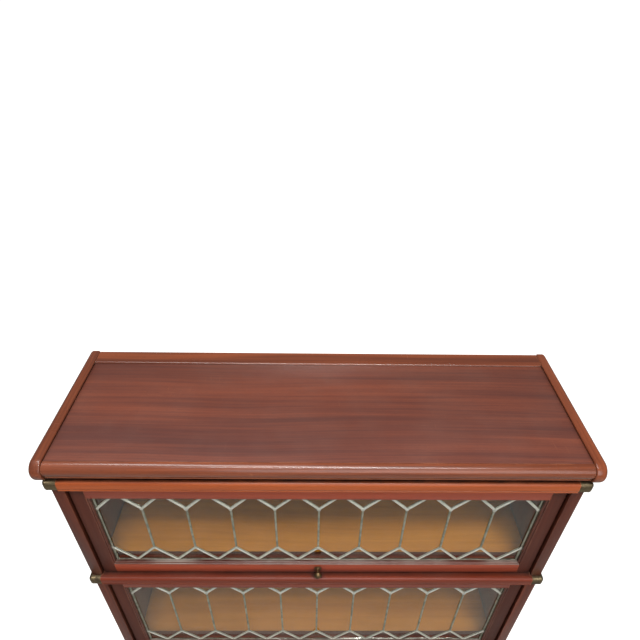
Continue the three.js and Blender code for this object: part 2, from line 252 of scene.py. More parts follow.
def build_knots() -> bpy.types.NodeTree:
    """Builds sparse small knots, long in the direction of the grain.

    Returns:
        The group's node tree.
    """
    nodes, given, leave = new_group(
        "knots", {"Grain": (VECTOR, None), "Share": (FLOAT, 0.3)}, {"Mask": FLOAT}
    )
    place = nodes.stretched(given["Grain"], (2.4, 7.5, 7.5))
    cells = nodes.add("TexVoronoi", in_Vector=place, in_Scale=1.0)
    ragged = nodes.math("MULTIPLY", nodes.noise(place, 60.0, 3.0), 0.02)
    near = nodes.ramp(nodes.math("ADD", cells.outputs["Distance"], ragged), 0.045, 0.02)
    picked = nodes.add("SeparateXYZ", in_0=cells.outputs["Color"]).outputs[0]
    chosen = nodes.math("LESS_THAN", picked, given["Share"])
    nodes.feed(leave, "Mask", nodes.math("MULTIPLY", near, chosen))
    return nodes.tree


def build_edge_wear() -> bpy.types.NodeTree:
    """Builds a mask of arrises rubbed pale by handling, broken up along their length.

    Returns:
        The group's node tree.
    """
    nodes, given, leave = new_group(
        "edge_wear",
        {"Position": (VECTOR, None), "Width": (FLOAT, 0.0015), "Amount": (FLOAT, 0.5)},
        {"Mask": FLOAT},
    )
    softened = nodes.add("Bevel", samples=4, in_Radius=given["Width"]).outputs[0]
    normal = nodes.add("NewGeometry").outputs["Normal"]
    agreement = nodes.add("VectorMath", operation="DOT_PRODUCT", in_0=softened, in_1=normal).outputs["Value"]
    sharp = nodes.ramp(nodes.math("SUBTRACT", 1.0, agreement), 0.01, 0.14)
    broken = nodes.ramp(nodes.noise(given["Position"], 22.0, 5.0), 0.34, 0.62)
    mask = nodes.math("MULTIPLY", nodes.math("MULTIPLY", sharp, broken), given["Amount"])
    nodes.feed(leave, "Mask", mask)
    return nodes.tree


def build_scuffs() -> bpy.types.NodeTree:
    """Builds sparse fine scratches and rubbed patches that dull a polish.

    Returns:
        The group's node tree.
    """
    nodes, given, leave = new_group(
        "scuffs",
        {"Position": (VECTOR, None), "Amount": (FLOAT, 0.5)},
        {"Scratch": FLOAT, "Haze": FLOAT},
    )
    place = given["Position"]
    warp = nodes.add("TexNoise", in_Vector=place, in_Scale=3.0, in_Detail=1.0).outputs["Color"]
    sway = nodes.stretched(warp, (0.06, 0.06, 0.06))
    bent = nodes.add("VectorMath", operation="ADD", in_0=place, in_1=sway)
    lines = nodes.noise(nodes.stretched(bent.outputs[0], (900.0, 26.0, 60.0)), 1.0, 1.0)
    cross = nodes.noise(nodes.stretched(bent.outputs[0], (18.0, 800.0, 60.0)), 1.0, 1.0)
    where = nodes.ramp(nodes.noise(place, 9.0, 2.0), 0.55, 0.7)
    scratch = nodes.math("MAXIMUM", nodes.ramp(lines, 0.7, 0.76), nodes.ramp(cross, 0.71, 0.76))
    scratch = nodes.math("MULTIPLY", nodes.math("MULTIPLY", scratch, where), given["Amount"])
    haze = nodes.math("MULTIPLY", nodes.ramp(nodes.noise(place, 5.0, 6.0), 0.4, 0.75), given["Amount"])
    nodes.feed(leave, "Scratch", scratch)
    nodes.feed(leave, "Haze", haze)
    return nodes.tree


def build_dust_and_highlight() -> bpy.types.NodeTree:
    """Builds a pale mask on upward faces, gathered in patches: a thin dust, and where it is strong a painted
    highlight.

    Returns:
        The group's node tree.
    """
    nodes, given, leave = new_group(
        "dust",
        {"Position": (VECTOR, None), "Amount": (FLOAT, 0.2)},
        {"Mask": FLOAT},
    )
    normal = nodes.add("NewGeometry").outputs["True Normal"]
    upward = nodes.add("SeparateXYZ", in_0=normal).outputs[2]
    lying = nodes.ramp(upward, 0.55, 1.0)
    patchy = nodes.ramp(nodes.noise(given["Position"], 14.0, 6.0), 0.3, 0.8)
    mask = nodes.math("MULTIPLY", nodes.math("MULTIPLY", lying, patchy), given["Amount"])
    nodes.feed(leave, "Mask", mask)
    return nodes.tree


def build_painted_shade() -> bpy.types.NodeTree:
    """Builds painted shade: ambient-occlusion darkening of narrow gaps and inside corners, where shade
    falls.

    Returns:
        The group's node tree.
    """
    nodes, given, leave = new_group(
        "grime",
        {"Position": (VECTOR, None), "Amount": (FLOAT, 0.5), "Reach": (FLOAT, 0.016)},
        {"Mask": FLOAT},
    )
    open_sky = nodes.add("AmbientOcclusion", samples=6, in_Distance=given["Reach"]).outputs["AO"]
    closed = nodes.ramp(nodes.math("SUBTRACT", 1.0, open_sky), 0.08, 0.55)
    uneven = nodes.math("MULTIPLY_ADD", nodes.noise(given["Position"], 30.0, 3.0), 0.6)
    uneven.node.inputs[2].default_value = 0.6
    mask = nodes.math("MULTIPLY", nodes.math("MULTIPLY", closed, uneven), given["Amount"])
    nodes.feed(leave, "Mask", nodes.math("MINIMUM", mask, 1.0))
    return nodes.tree


def build_tarnish() -> bpy.types.NodeTree:
    """Builds the mottled tarnish of old metal: a broad mask, fine specks and a height.

    Returns:
        The group's node tree.
    """
    nodes, given, leave = new_group(
        "tarnish",
        {"Position": (VECTOR, None), "Size": (FLOAT, 1.0)},
        {"Mask": FLOAT, "Specks": FLOAT, "Height": FLOAT},
    )
    scaled = nodes.add("VectorMath", operation="SCALE", in_0=given["Position"], in_Scale=given["Size"])
    place = scaled.outputs[0]
    broad = nodes.noise(place, 60.0, 6.0, in_Distortion=0.6)
    fine = nodes.noise(place, 420.0, 4.0)
    nodes.feed(leave, "Mask", nodes.ramp(broad, 0.35, 0.66))
    nodes.feed(leave, "Specks", nodes.ramp(fine, 0.58, 0.72))
    height = nodes.math("ADD", nodes.math("MULTIPLY", broad, 0.6), nodes.math("MULTIPLY", fine, 0.4))
    nodes.feed(leave, "Height", height)
    return nodes.tree


class Effects:
    """The shared node groups, each built the first time it is asked for."""

    _builders: dict[str, Callable[[], bpy.types.NodeTree]] = {
        "wood_figure": build_wood_figure,
        "knots": build_knots,
        "edge_wear": build_edge_wear,
        "scuffs": build_scuffs,
        "dust": build_dust_and_highlight,
        "grime": build_painted_shade,
        "tarnish": build_tarnish,
    }
    _built: dict[str, bpy.types.NodeTree] = {}

    @classmethod
    def place(cls, nodes: Nodes, name: str, **values: object) -> bpy.types.Node:
        """Places a shared group in a material.

        Args:
            nodes: the material's nodes.
            name: the group's name.
            values: the group's inputs by name.

        Returns:
            The group node.
        """
        if name not in cls._built:
            cls._built[name] = cls._builders[name]()
        node = nodes.add("Group", node_tree=cls._built[name])
        for label, value in values.items():
            nodes.feed(node, label, value)
        return node


# ---------------------------------------------------------------------------------------------
# Finishes
# ---------------------------------------------------------------------------------------------


def start_material(name: str) -> tuple[bpy.types.Material, Nodes, bpy.types.Node]:
    """Starts a material that holds one Principled shader.

    Args:
        name: the material's name.

    Returns:
        The material, its nodes and the shader node.
    """
    material = bpy.data.materials.new(name)
    material.use_nodes = True
    material.node_tree.nodes.clear()
    nodes = Nodes(material.node_tree)
    shader = nodes.add("BsdfPrincipled")
    output = nodes.add("OutputMaterial")
    material.node_tree.links.new(shader.outputs[0], output.inputs[0])
    return material, nodes, shader


@dataclass(frozen=True)
class WoodFinish:
    """A polished or plain wood.

    Attributes:
        name: the finish's name.
        slot: the record's material slot; not used.
        light: colour between the dark bands.
        dark: colour of the dark bands and pores.
        figure: how strongly the bands show.
        pores: how strongly the pores show.
        roughness: how dull the polish is.
        coat: how much clear polish lies on top.
        wear: how pale the arrises are rubbed.
        worn: colour of a rubbed arris.
        scuffed: how many scratches show.
        dust_and_highlight: how much pale dust lies on upward faces, which on the moulding's ledge is also a
            painted highlight.
        painted_shade_amount: how strongly painted shade darkens the gaps and corners.
        knotty: what share of its cells hold a knot.
    """

    name: str
    slot: str
    light: Colour
    dark: Colour
    figure: float = 0.75
    pores: float = 0.5
    roughness: float = 0.34
    coat: float = 0.12
    wear: float = 0.5
    worn: Colour = linear(196, 122, 86)
    scuffed: float = 0.25
    dust_and_highlight: float = 0.03
    painted_shade_amount: float = 0.8
    knotty: float = 0.0

    def material(self, grain: Grain) -> bpy.types.Material:
        """Builds this finish with its grain along one axis, once.

        Args:
            grain: the way the grain runs.

        Returns:
            The material.
        """
        label = f"{self.name}_{grain.name.lower()}"
        if label in bpy.data.materials:
            return bpy.data.materials[label]
        material, nodes, shader = start_material(label)
        place = nodes.add("TexCoord").outputs["Object"]
        board = nodes.add("Attribute", attribute_name="board").outputs["Fac"]
        aside = nodes.math("MULTIPLY", board, 3.1)
        across = nodes.math("MULTIPLY", board, 1.7)
        shift = nodes.add("CombineXYZ", in_0=aside, in_1=across)
        axes = nodes.add("SeparateXYZ", in_0=place).outputs
        order = {Grain.ALONG_X: (0, 1, 2), Grain.ALONG_Y: (1, 2, 0), Grain.ALONG_Z: (2, 0, 1)}[grain]
        turned = nodes.add("CombineXYZ", in_0=axes[order[0]], in_1=axes[order[1]], in_2=axes[order[2]])
        moved = nodes.add("VectorMath", operation="ADD", in_0=turned.outputs[0], in_1=shift.outputs[0])
        along = moved.outputs[0]
        wood = Effects.place(
            nodes,
            "wood_figure",
            Grain=along,
            Light=self.light,
            Dark=self.dark,
            Figure=self.figure,
            Pores=self.pores,
        )
        wear = Effects.place(nodes, "edge_wear", Position=place, Amount=self.wear).outputs["Mask"]
        scuffs = Effects.place(nodes, "scuffs", Position=place, Amount=self.scuffed)
        dust = Effects.place(nodes, "dust", Position=place, Amount=self.dust_and_highlight).outputs["Mask"]
        tone = nodes.add("TexWhiteNoise", noise_dimensions="1D", in_W=board).outputs[0]
        value = nodes.math("MULTIPLY_ADD", tone, 0.22)
        value.node.inputs[2].default_value = 0.89
        varied = nodes.add("HueSaturation", in_Value=value, in_Color=wood.outputs["Color"]).outputs[0]
        knots = Effects.place(nodes, "knots", Grain=along, Share=self.knotty).outputs["Mask"]
        varied = nodes.mix(nodes.math("MULTIPLY", knots, 0.85), varied, linear(52, 28, 14))
        # Painted shade: gaps and inside corners, found by ambient occlusion, are darkened towards near black
        # as a contact shadow.
        grime = Effects.place(nodes, "grime", Position=place, Amount=self.painted_shade_amount).outputs["Mask"]
        varied = nodes.mix(grime, varied, linear(28, 14, 10))
        colour = nodes.mix(wear, varied, self.worn)
        colour = nodes.mix(nodes.math("MULTIPLY", scuffs.outputs["Scratch"], 0.5), colour, self.worn)
        # Upward faces mixed towards pale grey: thin dust, and on the moulding's ledge a painted highlight.
        colour = nodes.mix(dust, colour, linear(190, 178, 165))
        nodes.feed(shader, "Base Color", colour)
        dull = nodes.math("MULTIPLY_ADD", scuffs.outputs["Haze"], 0.35)
        dull.node.inputs[2].default_value = self.roughness
        dull = nodes.math("ADD", dull, nodes.math("MULTIPLY", scuffs.outputs["Scratch"], 0.2))
        nodes.feed(shader, "Roughness", nodes.math("ADD", dull, nodes.math("MULTIPLY", dust, 0.5)))
        shader.inputs["Coat Weight"].default_value = self.coat
        shader.inputs["Coat Roughness"].default_value = 0.16
        shader.inputs["Specular IOR Level"].default_value = 0.32
        height = nodes.math("SUBTRACT", wood.outputs["Height"], scuffs.outputs["Scratch"])
        bump = nodes.add("Bump", in_Strength=0.35, in_Distance=0.00022, in_Height=height)
        nodes.feed(shader, "Normal", bump.outputs[0])
        return material


@dataclass(frozen=True)
class MetalFinish:
    """An old metal: its bright colour, its tarnish and how rough each is."""

    name: str
    slot: str
    bright: Colour
    tarnished: Colour
    roughness: float = 0.35
    tarnish: float = 0.7
    wear: float = 0.6
    size: float = 1.0
    bump: float = 0.0003
    metallic: float = 1.0

    def material(self) -> bpy.types.Material:
        """Returns this finish, building it once.

        Returns:
            The material.
        """
        if self.name in bpy.data.materials:
            return bpy.data.materials[self.name]
        material, nodes, shader = start_material(self.name)
        place = nodes.add("TexCoord").outputs["Object"]
        patina = Effects.place(nodes, "tarnish", Position=place, Size=self.size)
        wear = Effects.place(nodes, "edge_wear", Position=place, Amount=self.wear).outputs["Mask"]
        share = nodes.math("MULTIPLY", patina.outputs["Mask"], self.tarnish)
        share = nodes.math("MAXIMUM", share, nodes.math("MULTIPLY", patina.outputs["Specks"], self.tarnish))
        colour = nodes.mix(share, self.bright, self.tarnished)
        nodes.feed(shader, "Base Color", nodes.mix(wear, colour, self.bright))
        rough = nodes.math("MULTIPLY_ADD", share, 0.3)
        rough.node.inputs[2].default_value = self.roughness
        nodes.feed(shader, "Roughness", rough)
        lost = nodes.math("MULTIPLY", share, 0.3)
        nodes.feed(shader, "Metallic", nodes.math("SUBTRACT", self.metallic, lost))
        bump = nodes.add("Bump", in_Strength=0.4, in_Distance=self.bump, in_Height=patina.outputs["Height"])
        nodes.feed(shader, "Normal", bump.outputs[0])
        return material


@dataclass(frozen=True)
class GlassFinish:
    """Old drawn glass: clear, faintly tinted, gently wavy and a little filmed.

    Attributes:
        name: the finish's name.
        slot: the record's material slot; not used.
        tint: colour of the light that passes.
        filmed: colour of the glass where a film lies on it.
        shade: how much of a lamp's light the glass holds back.
    """

    name: str
    slot: str
    tint: Colour
    filmed: Colour
    shade: float = 0.1

    def material(self) -> bpy.types.Material:
        """Returns this finish, building it once.

        Returns:
            The material.
        """
        if self.name in bpy.data.materials:
            return bpy.data.materials[self.name]
        material, nodes, shader = start_material(self.name)
        place = nodes.add("TexCoord").outputs["Object"]
        pane = nodes.add("Attribute", attribute_name="board").outputs["Fac"]
        scuffs = Effects.place(nodes, "scuffs", Position=place, Amount=1.0)
        shader.inputs["Metallic"].default_value = 0.0
        shader.inputs["Transmission Weight"].default_value = 1.0
        shader.inputs["IOR"].default_value = 1.48
        nodes.feed(shader, "Base Color", nodes.mix(scuffs.outputs["Haze"], self.tint, self.filmed))
        nodes.feed(shader, "Roughness", nodes.math("MULTIPLY", scuffs.outputs["Haze"], 0.05))
        rays = nodes.add("LightPath").outputs
        spread = nodes.math("MAXIMUM", rays["Is Shadow Ray"], rays["Is Diffuse Ray"])
        let_by = nodes.math("MULTIPLY", spread, 1.0 - self.shade)
        nodes.feed(shader, "Alpha", nodes.math("SUBTRACT", 1.0, let_by))
        shift = nodes.add("CombineXYZ", in_0=pane, in_2=pane).outputs[0]
        own = nodes.add("VectorMath", operation="ADD", in_0=place, in_1=shift).outputs[0]
        wave = nodes.noise(nodes.stretched(own, (16.0, 16.0, 7.0)), 1.0, 2.0)
        seeds = nodes.ramp(nodes.noise(own, 240.0, 1.0), 0.74, 0.8)
        height = nodes.math("ADD", wave, nodes.math("MULTIPLY", seeds, 0.05))
        bump = nodes.add("Bump", in_Strength=0.35, in_Distance=0.0005, in_Height=height)
        nodes.feed(shader, "Normal", bump.outputs[0])
        return material


Finish = WoodFinish | MetalFinish | GlassFinish

RAIL_WOOD = WoodFinish(
    "rail_mahogany", "mahogany", light=linear(136, 53, 26), dark=linear(94, 34, 18),
    roughness=0.4, coat=0.1, figure=0.7, wear=0.95, painted_shade_amount=1.0,
)
# Painted light: a lighter copy of the rail mahogany for the upper rail, standing in for the stronger light
# on that rail's face.
RAIL_WOOD_PAINTED_LIT = WoodFinish(
    "rail_mahogany_bleached", "mahogany", light=linear(186, 92, 44), dark=linear(132, 56, 28),
    figure=0.7, wear=0.9, painted_shade_amount=1.0,
)
CARCASE_WOOD = WoodFinish(
    "carcase_mahogany", "mahogany", light=linear(120, 58, 38), dark=linear(70, 30, 22)
)
DOOR_WOOD = WoodFinish(
    "door_mahogany", "door_mahogany", light=linear(172, 76, 48), dark=linear(114, 45, 31), figure=0.7
)
STILE_WOOD = WoodFinish(
    "stile_mahogany", "door_mahogany", light=linear(98, 48, 34), dark=linear(62, 29, 22),
    figure=0.7, roughness=0.5, coat=0.0,
)
# The moulding's high dust amount paints its upward ledge pale: a painted highlight, partly dust.
MOULDING_WOOD = WoodFinish(
    "moulding_mahogany", "door_mahogany", light=linear(112, 58, 44), dark=linear(70, 34, 27),
    figure=0.5, wear=0.4, worn=linear(170, 116, 96), roughness=0.28, coat=0.3, dust_and_highlight=0.55,
)
TOP_WOOD = WoodFinish(
    "top_mahogany", "mahogany_top", light=linear(142, 77, 57), dark=linear(98, 56, 49),
    figure=0.95, pores=0.6, roughness=0.4, coat=0.15, scuffed=0.7, dust_and_highlight=0.03,
)
NOSING_WOOD = WoodFinish(
    "nosing_mahogany", "mahogany", light=linear(150, 77, 44), dark=linear(88, 42, 28),
    figure=0.85, roughness=0.26, coat=0.7, wear=0.9, scuffed=0.5, dust_and_highlight=0.01,
)
SHELF_WOOD = WoodFinish(
    "shelf_whitewood", "shelf_wood", light=linear(238, 157, 50), dark=linear(190, 113, 30),
    figure=0.55, pores=0.35, roughness=0.5, coat=0.1, wear=0.1, worn=linear(220, 176, 116), scuffed=0.5,
    painted_shade_amount=0.25, knotty=0.35,
)
# Painted shade and painted reflection: the back is made dark and greyish to stand in for the shade inside
# the case and the grey reflection on its glass.
BACK_WOOD_PAINTED_SHADE = WoodFinish(
    "back_mahogany", "mahogany", light=linear(70, 49, 37), dark=linear(42, 30, 24),
    figure=0.8, roughness=0.6, coat=0.0, wear=0.2, scuffed=0.15, dust_and_highlight=0.1,
)
CLEAR_GLASS = GlassFinish(
    "door_glass_clear", "glass", tint=linear(244, 246, 236), filmed=linear(226, 226, 208)
)
# Painted highlight: the slanting cames' lead is made near white for the light on their rounded tops; the
# uprights keep the darker lead.
LEAD_CAME_PAINTED_LIT = MetalFinish(
    "lead_came", "lead", bright=linear(234, 234, 222), tarnished=linear(150, 154, 134),
    roughness=0.4, tarnish=0.4, metallic=0.45,
)
LEAD_UPRIGHT = MetalFinish(
    "lead_upright", "lead", bright=linear(178, 178, 160), tarnished=linear(88, 92, 74),
    roughness=0.46, tarnish=0.6, metallic=0.5,
)
SOLDER = MetalFinish(
    "lead_solder", "lead", bright=linear(222, 222, 210), tarnished=linear(128, 130, 116),
    roughness=0.34, tarnish=0.4, size=1.6, metallic=0.6,
)
BAND_BRONZE = MetalFinish(
    "band_bronze", "bronze", bright=linear(134, 118, 90), tarnished=linear(60, 50, 38),
    roughness=0.4, tarnish=0.7,
)
KNOB_BRASS = MetalFinish(
    "knob_brass", "brass", bright=linear(134, 110, 76), tarnished=linear(60, 44, 30),
    roughness=0.28, tarnish=0.8,
)
PIN_STEEL = MetalFinish(
    "pin_steel", "steel", bright=linear(160, 160, 158), tarnished=linear(86, 82, 76),
    roughness=0.34, tarnish=0.5,
)


# ---------------------------------------------------------------------------------------------
# Shapes
# ---------------------------------------------------------------------------------------------


def arc(centre: Point, radii: Point, start: float, end: float, steps: int) -> list[Point]:
    """Returns points along part of an ellipse.

    Args:
        centre: the ellipse's centre.
        radii: its two radii.
        start: the first angle, in degrees.
        end: the last angle, in degrees.
        steps: how many lengths the arc is cut into.

    Returns:
        The steps + 1 points.
    """
    points = []
    for i in range(steps + 1):
        angle = math.radians(start + (end - start) * i / steps)
        points.append((centre[0] + radii[0] * math.cos(angle), centre[1] + radii[1] * math.sin(angle)))
    return points


def inset(outline: Sequence[Point], distance: float) -> list[Point]:
    """Moves each edge of a convex anticlockwise outline inwards.

    Args:
        outline: its corners in order.
        distance: how far each edge moves.

    Returns:
        The smaller outline.
    """
    count = len(outline)
    edges = []
    for i in range(count):
        start = Vector(outline[i])
        along = (Vector(outline[(i + 1) % count]) - start).normalized()
        edges.append((start + Vector((-along.y, along.x)) * distance, along))
    points = []
    for i in range(count):
        (p, d), (q, e) = edges[i - 1], edges[i]
        cross = d.x * e.y - d.y * e.x
        share = ((q - p).x * e.y - (q - p).y * e.x) / cross
        bent = p + d * share
        points.append((bent.x, bent.y))
    return points


def between(low: Sequence[float], high: Sequence[float]) -> Matrix:
    """Returns the matrix that puts a unit cube between two corners."""
    middle = (Vector(high) + Vector(low)) / 2
    return Matrix.Translation(middle) @ Matrix.Diagonal((*(Vector(high) - Vector(low)), 1))


# A came's rounded leaf: share of its half width, share of its height.
CAME_SECTION = ((-1, 0.0), (-0.86, 0.55), (-0.45, 0.92), (0, 1.0), (0.45, 0.92), (0.86, 0.55), (1, 0.0))
AXES = {0: (1, 2), 1: (2, 0), 2: (0, 1)}
End = float | Callable[[float, float], float]


class Form:
    """Closed shapes gathered into one piece, each with a grain of its own."""

    _count = 0

    def __init__(self, name: str) -> None:
        """Starts an empty piece.

        Args:
            name: the piece's name.
        """
        self.name = name
        self.mesh = bmesh.new()
        self.board = self.mesh.verts.layers.float.new("board")

    def _mark(self, before: int) -> None:
        """Gives the vertices added last a grain of their own.

        Args:
            before: how many vertices there were before them.
        """
        Form._count += 1
        value = (Form._count * SEED_STEP) % 11
        self.mesh.verts.ensure_lookup_table()
        for vert in self.mesh.verts[before:]:
            vert[self.board] = value

    def rings(self, rings: Sequence[Sequence[Vector]]) -> "Form":
        """Joins rings of points into one skin, closed at both ends.

        Args:
            rings: outlines with the same number of points, in order.

        Returns:
            This form.
        """
        before = len(self.mesh.verts)
        grid = [[self.mesh.verts.new(point) for point in ring] for ring in rings]
        count = len(grid[0])
        for first, second in zip(grid, grid[1:]):
            for i in range(count):
                j = (i + 1) % count
                self.mesh.faces.new((first[i], first[j], second[j], second[i]))
        self.mesh.faces.new(list(reversed(grid[0])))
        self.mesh.faces.new(grid[-1])
        self._mark(before)
        return self

    def run(self, outline: Sequence[Point], axis: int, start: End, end: End) -> "Form":
        """Runs an outline along an axis, its ends square or cut to a slope.

        Args:
            outline: points on the two other axes, in the order that follows the axis.
            axis: 0, 1 or 2 for X, Y or Z.
            start: where it starts along the axis, or a function of the outline's point.
            end: where it ends, in the same way.

        Returns:
            This form.
        """
        first, second = AXES[axis]
        rings = []
        for stop in (start, end):
            ring = []
            for a, b in outline:
                point = [0.0, 0.0, 0.0]
                point[first], point[second] = a, b
                point[axis] = stop(a, b) if callable(stop) else stop
                ring.append(Vector(point))
            rings.append(ring)
        return self.rings(rings)

    def slab(self, low: Sequence[float], high: Sequence[float], ease: float, steps: int = 2) -> "Form":
        """Adds a board between two corners, with every arris eased.

        Args:
            low: its lowest corner.
            high: its highest corner.
            ease: how far each arris is rounded.
            steps: how many facets the rounding has.

        Returns:
            This form.
        """
        before = len(self.mesh.verts)
        made = bmesh.ops.create_cube(self.mesh, size=1, matrix=between(low, high))
        edges = list({edge for vert in made["verts"] for edge in vert.link_edges})
        bmesh.ops.bevel(
            self.mesh,
            geom=edges,
            offset=ease,
            segments=steps,
            profile=0.5,
            affect="EDGES",
            clamp_overlap=True,
        )
        self._mark(before)
        return self

    def turned(self, profile: Sequence[Point], place: Vector, axis: Vector, sides: int = 32) -> "Form":
        """Adds a turned shape.

        Args:
            profile: (distance along the axis, radius) from one end to the other, with radii above 0.
            place: where the axis starts.
            axis: its direction.
            sides: how many sides a round has.

        Returns:
            This form.
        """
        turn = Vector((0, 0, 1)).rotation_difference(axis).to_matrix()
        rings = []
        for along, radius in profile:
            ring = []
            for i in range(sides):
                angle = 2 * math.pi * i / sides
                point = Vector((radius * math.cos(angle), radius * math.sin(angle), along))
                ring.append(place + turn @ point)
            rings.append(ring)
        return self.rings(rings)

    def finish(
        self,
        finish: Finish,
        body: str,
        replaces: Iterable[str] = (),
        grain: Grain = Grain.ALONG_X,
        smooth: float = SMOOTH_ANGLE,
    ) -> bpy.types.Object:
        """Makes the piece, dresses it and puts it on its body.

        Args:
            finish: what it is finished in.
            body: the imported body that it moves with.
            replaces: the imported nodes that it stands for.
            grain: the way a wood's grain runs.
            smooth: edges flatter than this angle are shaded smooth.

        Returns:
            The new object.
        """
        bmesh.ops.recalc_face_normals(self.mesh, faces=self.mesh.faces)
        mesh = bpy.data.meshes.new(self.name)
        self.mesh.to_mesh(mesh)
        self.mesh.free()
        mesh.shade_smooth()
        mesh.set_sharp_from_angle(angle=smooth)
        material = finish.material(grain) if isinstance(finish, WoodFinish) else finish.material()
        mesh.materials.append(material)
        piece = bpy.data.objects.new(self.name, mesh)
        bpy.context.scene.collection.objects.link(piece)
        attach(piece, body)
        nodes = list(replaces)
        if nodes:
            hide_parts(*nodes)
        log.info("%s: %d faces on %s, for %s", self.name, len(mesh.polygons), body, nodes or "no node")
        return piece


def carve(piece: bpy.types.Object, low: Sequence[float], high: Sequence[float]) -> None:
    """Cuts a box out of a piece.

    Args:
        piece: the piece to cut.
        low: the box's lowest corner.
        high: its highest corner.
    """
    tool_mesh = bpy.data.meshes.new("cutter")
    shape = bmesh.new()
    bmesh.ops.create_cube(shape, size=1, matrix=between(low, high))
    shape.to_mesh(tool_mesh)
    shape.free()
    tool = bpy.data.objects.new("cutter", tool_mesh)
    bpy.context.scene.collection.objects.link(tool)
    modifier = piece.modifiers.new("cut", "BOOLEAN")
    modifier.operation = "DIFFERENCE"
    modifier.solver = "EXACT"
    modifier.object = tool
    bpy.context.view_layer.update()
    result = bpy.data.meshes.new_from_object(piece.evaluated_get(bpy.context.evaluated_depsgraph_get()))
    piece.modifiers.clear()
    piece.data = result
    bpy.data.objects.remove(tool)


# ---------------------------------------------------------------------------------------------
# Sub-assemblies
# ---------------------------------------------------------------------------------------------


@dataclass
class TopUnit:
    """The cap: two round-fronted ends, a panel, a half-round nosing and a back rail.

    Attributes:
        end_rounding: how far an end piece's outer face is rounded.
        end_inner_ease: how far its inner face is rounded.
        end_steps: how many facets each of those roundings has.
        nosing_radius: the radius of the nosing's half round.
        fillet: the height of the fillet under it.
        nosing_seat: how far the fillet's underside runs back.
        panel_gap: the gap between the panel and the nosing's tongue.
        panel_ease: how far the panel's edges are rounded.
        back_arris: the radius of the back rail's front arris.
        back_ease: how far its back arris is cut off.
    """

    end_rounding: float = 8 * MM
    end_inner_ease: float = 2.6 * MM
    end_steps: int = 5
    nosing_radius: float = 14 * MM
    fillet: float = 3.2 * MM
    nosing_seat: float = 13 * MM
    panel_gap: float = 0.3 * MM
    panel_ease: float = 0.7 * MM
    back_arris: float = 4 * MM
    back_ease: float = 1 * MM

    def end_outline(self, name: str, shrink: float) -> list[Point]:
        """Works out an end piece's outline, seen from the side.

        Args:
            name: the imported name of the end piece.
            shrink: how far the outline lies inside the full one.

        Returns:
            Its (Y, Z) points.
        """
        low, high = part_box(name)
        radius = (high.z - low.z) / 2
        round_front = arc((low.y + radius, low.z + radius), (radius - shrink,) * 2, 90, 270, 20)
        return [(high.y - shrink, high.z - shrink), *round_front, (high.y - shrink, low.z + shrink)]

    def build_end(self, side: Side) -> None:
        """Builds one end piece: a board with a full round front and softened faces.

        Args:
            side: the end that it closes.
        """
        name = f"cap_end_{side.name.lower()}"
        low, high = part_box(name)
        rings = []
        for face, sign in ((low.x, 1), (high.x, -1)):
            outer = (face < 0) == (sign > 0)
            ease = self.end_rounding if outer else self.end_inner_ease
            part = []
            for k in range(self.end_steps + 1):
                angle = math.radians(90 * k / self.end_steps)
                x = face + sign * ease * (1 - math.sin(angle))
                outline = self.end_outline(name, ease * (1 - math.cos(angle)))
                part.append([Vector((x, y, z)) for y, z in outline])
            rings.append(part[::-1] if sign > 0 else part)
        ordered = rings[0] + rings[1]
        Form(name + "_shaped").rings(ordered).finish(NOSING_WOOD, "carcase", [name], Grain.ALONG_Y)

    def build_nosing(self) -> None:
        """Builds the half-round front with the small fillet under it and its tongue behind."""
        low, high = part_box("cap_nosing")
        panel_low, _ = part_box("cap_panel")
        radius = self.nosing_radius
        centre = (low.y + radius, high.z - radius)
        fillet_top = high.z - 2 * radius + self.fillet
        cut = math.degrees(math.acos((high.z - radius - fillet_top) / radius))
        rounded = arc(centre, (radius, radius), 90, 270 - cut, 22)
        step = rounded[-1][0]
        outline = [
            *rounded,
            (step - 0.9 * MM, fillet_top - 0.4 * MM),
            (step - 1.2 * MM, fillet_top - 1.2 * MM),
            (step - 1.2 * MM, fillet_top - self.fillet + 0.8 * MM),
            (step - 0.4 * MM, fillet_top - self.fillet),
            (step + self.nosing_seat, fillet_top - self.fillet),
            (step + self.nosing_seat, low.z),
            (high.y, low.z),
            (high.y, panel_low.z - self.panel_gap),
            (centre[0], panel_low.z - self.panel_gap),
        ]
        nosing = Form("cap_nosing_moulded").run(outline, 0, low.x, high.x)
        nosing.finish(NOSING_WOOD, "carcase", ["cap_nosing"])

    def build_panel(self) -> None:
        """Builds the top panel as one board with eased edges."""
        low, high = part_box("cap_panel")
        Form("cap_panel_eased").slab(low, high, self.panel_ease).finish(TOP_WOOD, "carcase", ["cap_panel"])

    def build_back_rail(self) -> None:
        """Builds the back rail with its rounded front arris."""
        low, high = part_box("cap_back_rail")
        r = self.back_arris
        outline = [
            *arc((low.y + r, high.z - r), (r, r), 180, 90, 5),
            (high.y - self.back_ease, high.z),
            (high.y, high.z - self.back_ease),
            (high.y, low.z),
            (low.y, low.z),
        ]
        rail = Form("cap_back_rail_rounded").run(outline, 0, low.x, high.x)
        rail.finish(NOSING_WOOD, "carcase", ["cap_back_rail"])

    def build(self) -> None:
        """Builds the whole top unit."""
        for side in Side:
            self.build_end(side)
        self.build_nosing()
        self.build_panel()
        self.build_back_rail()


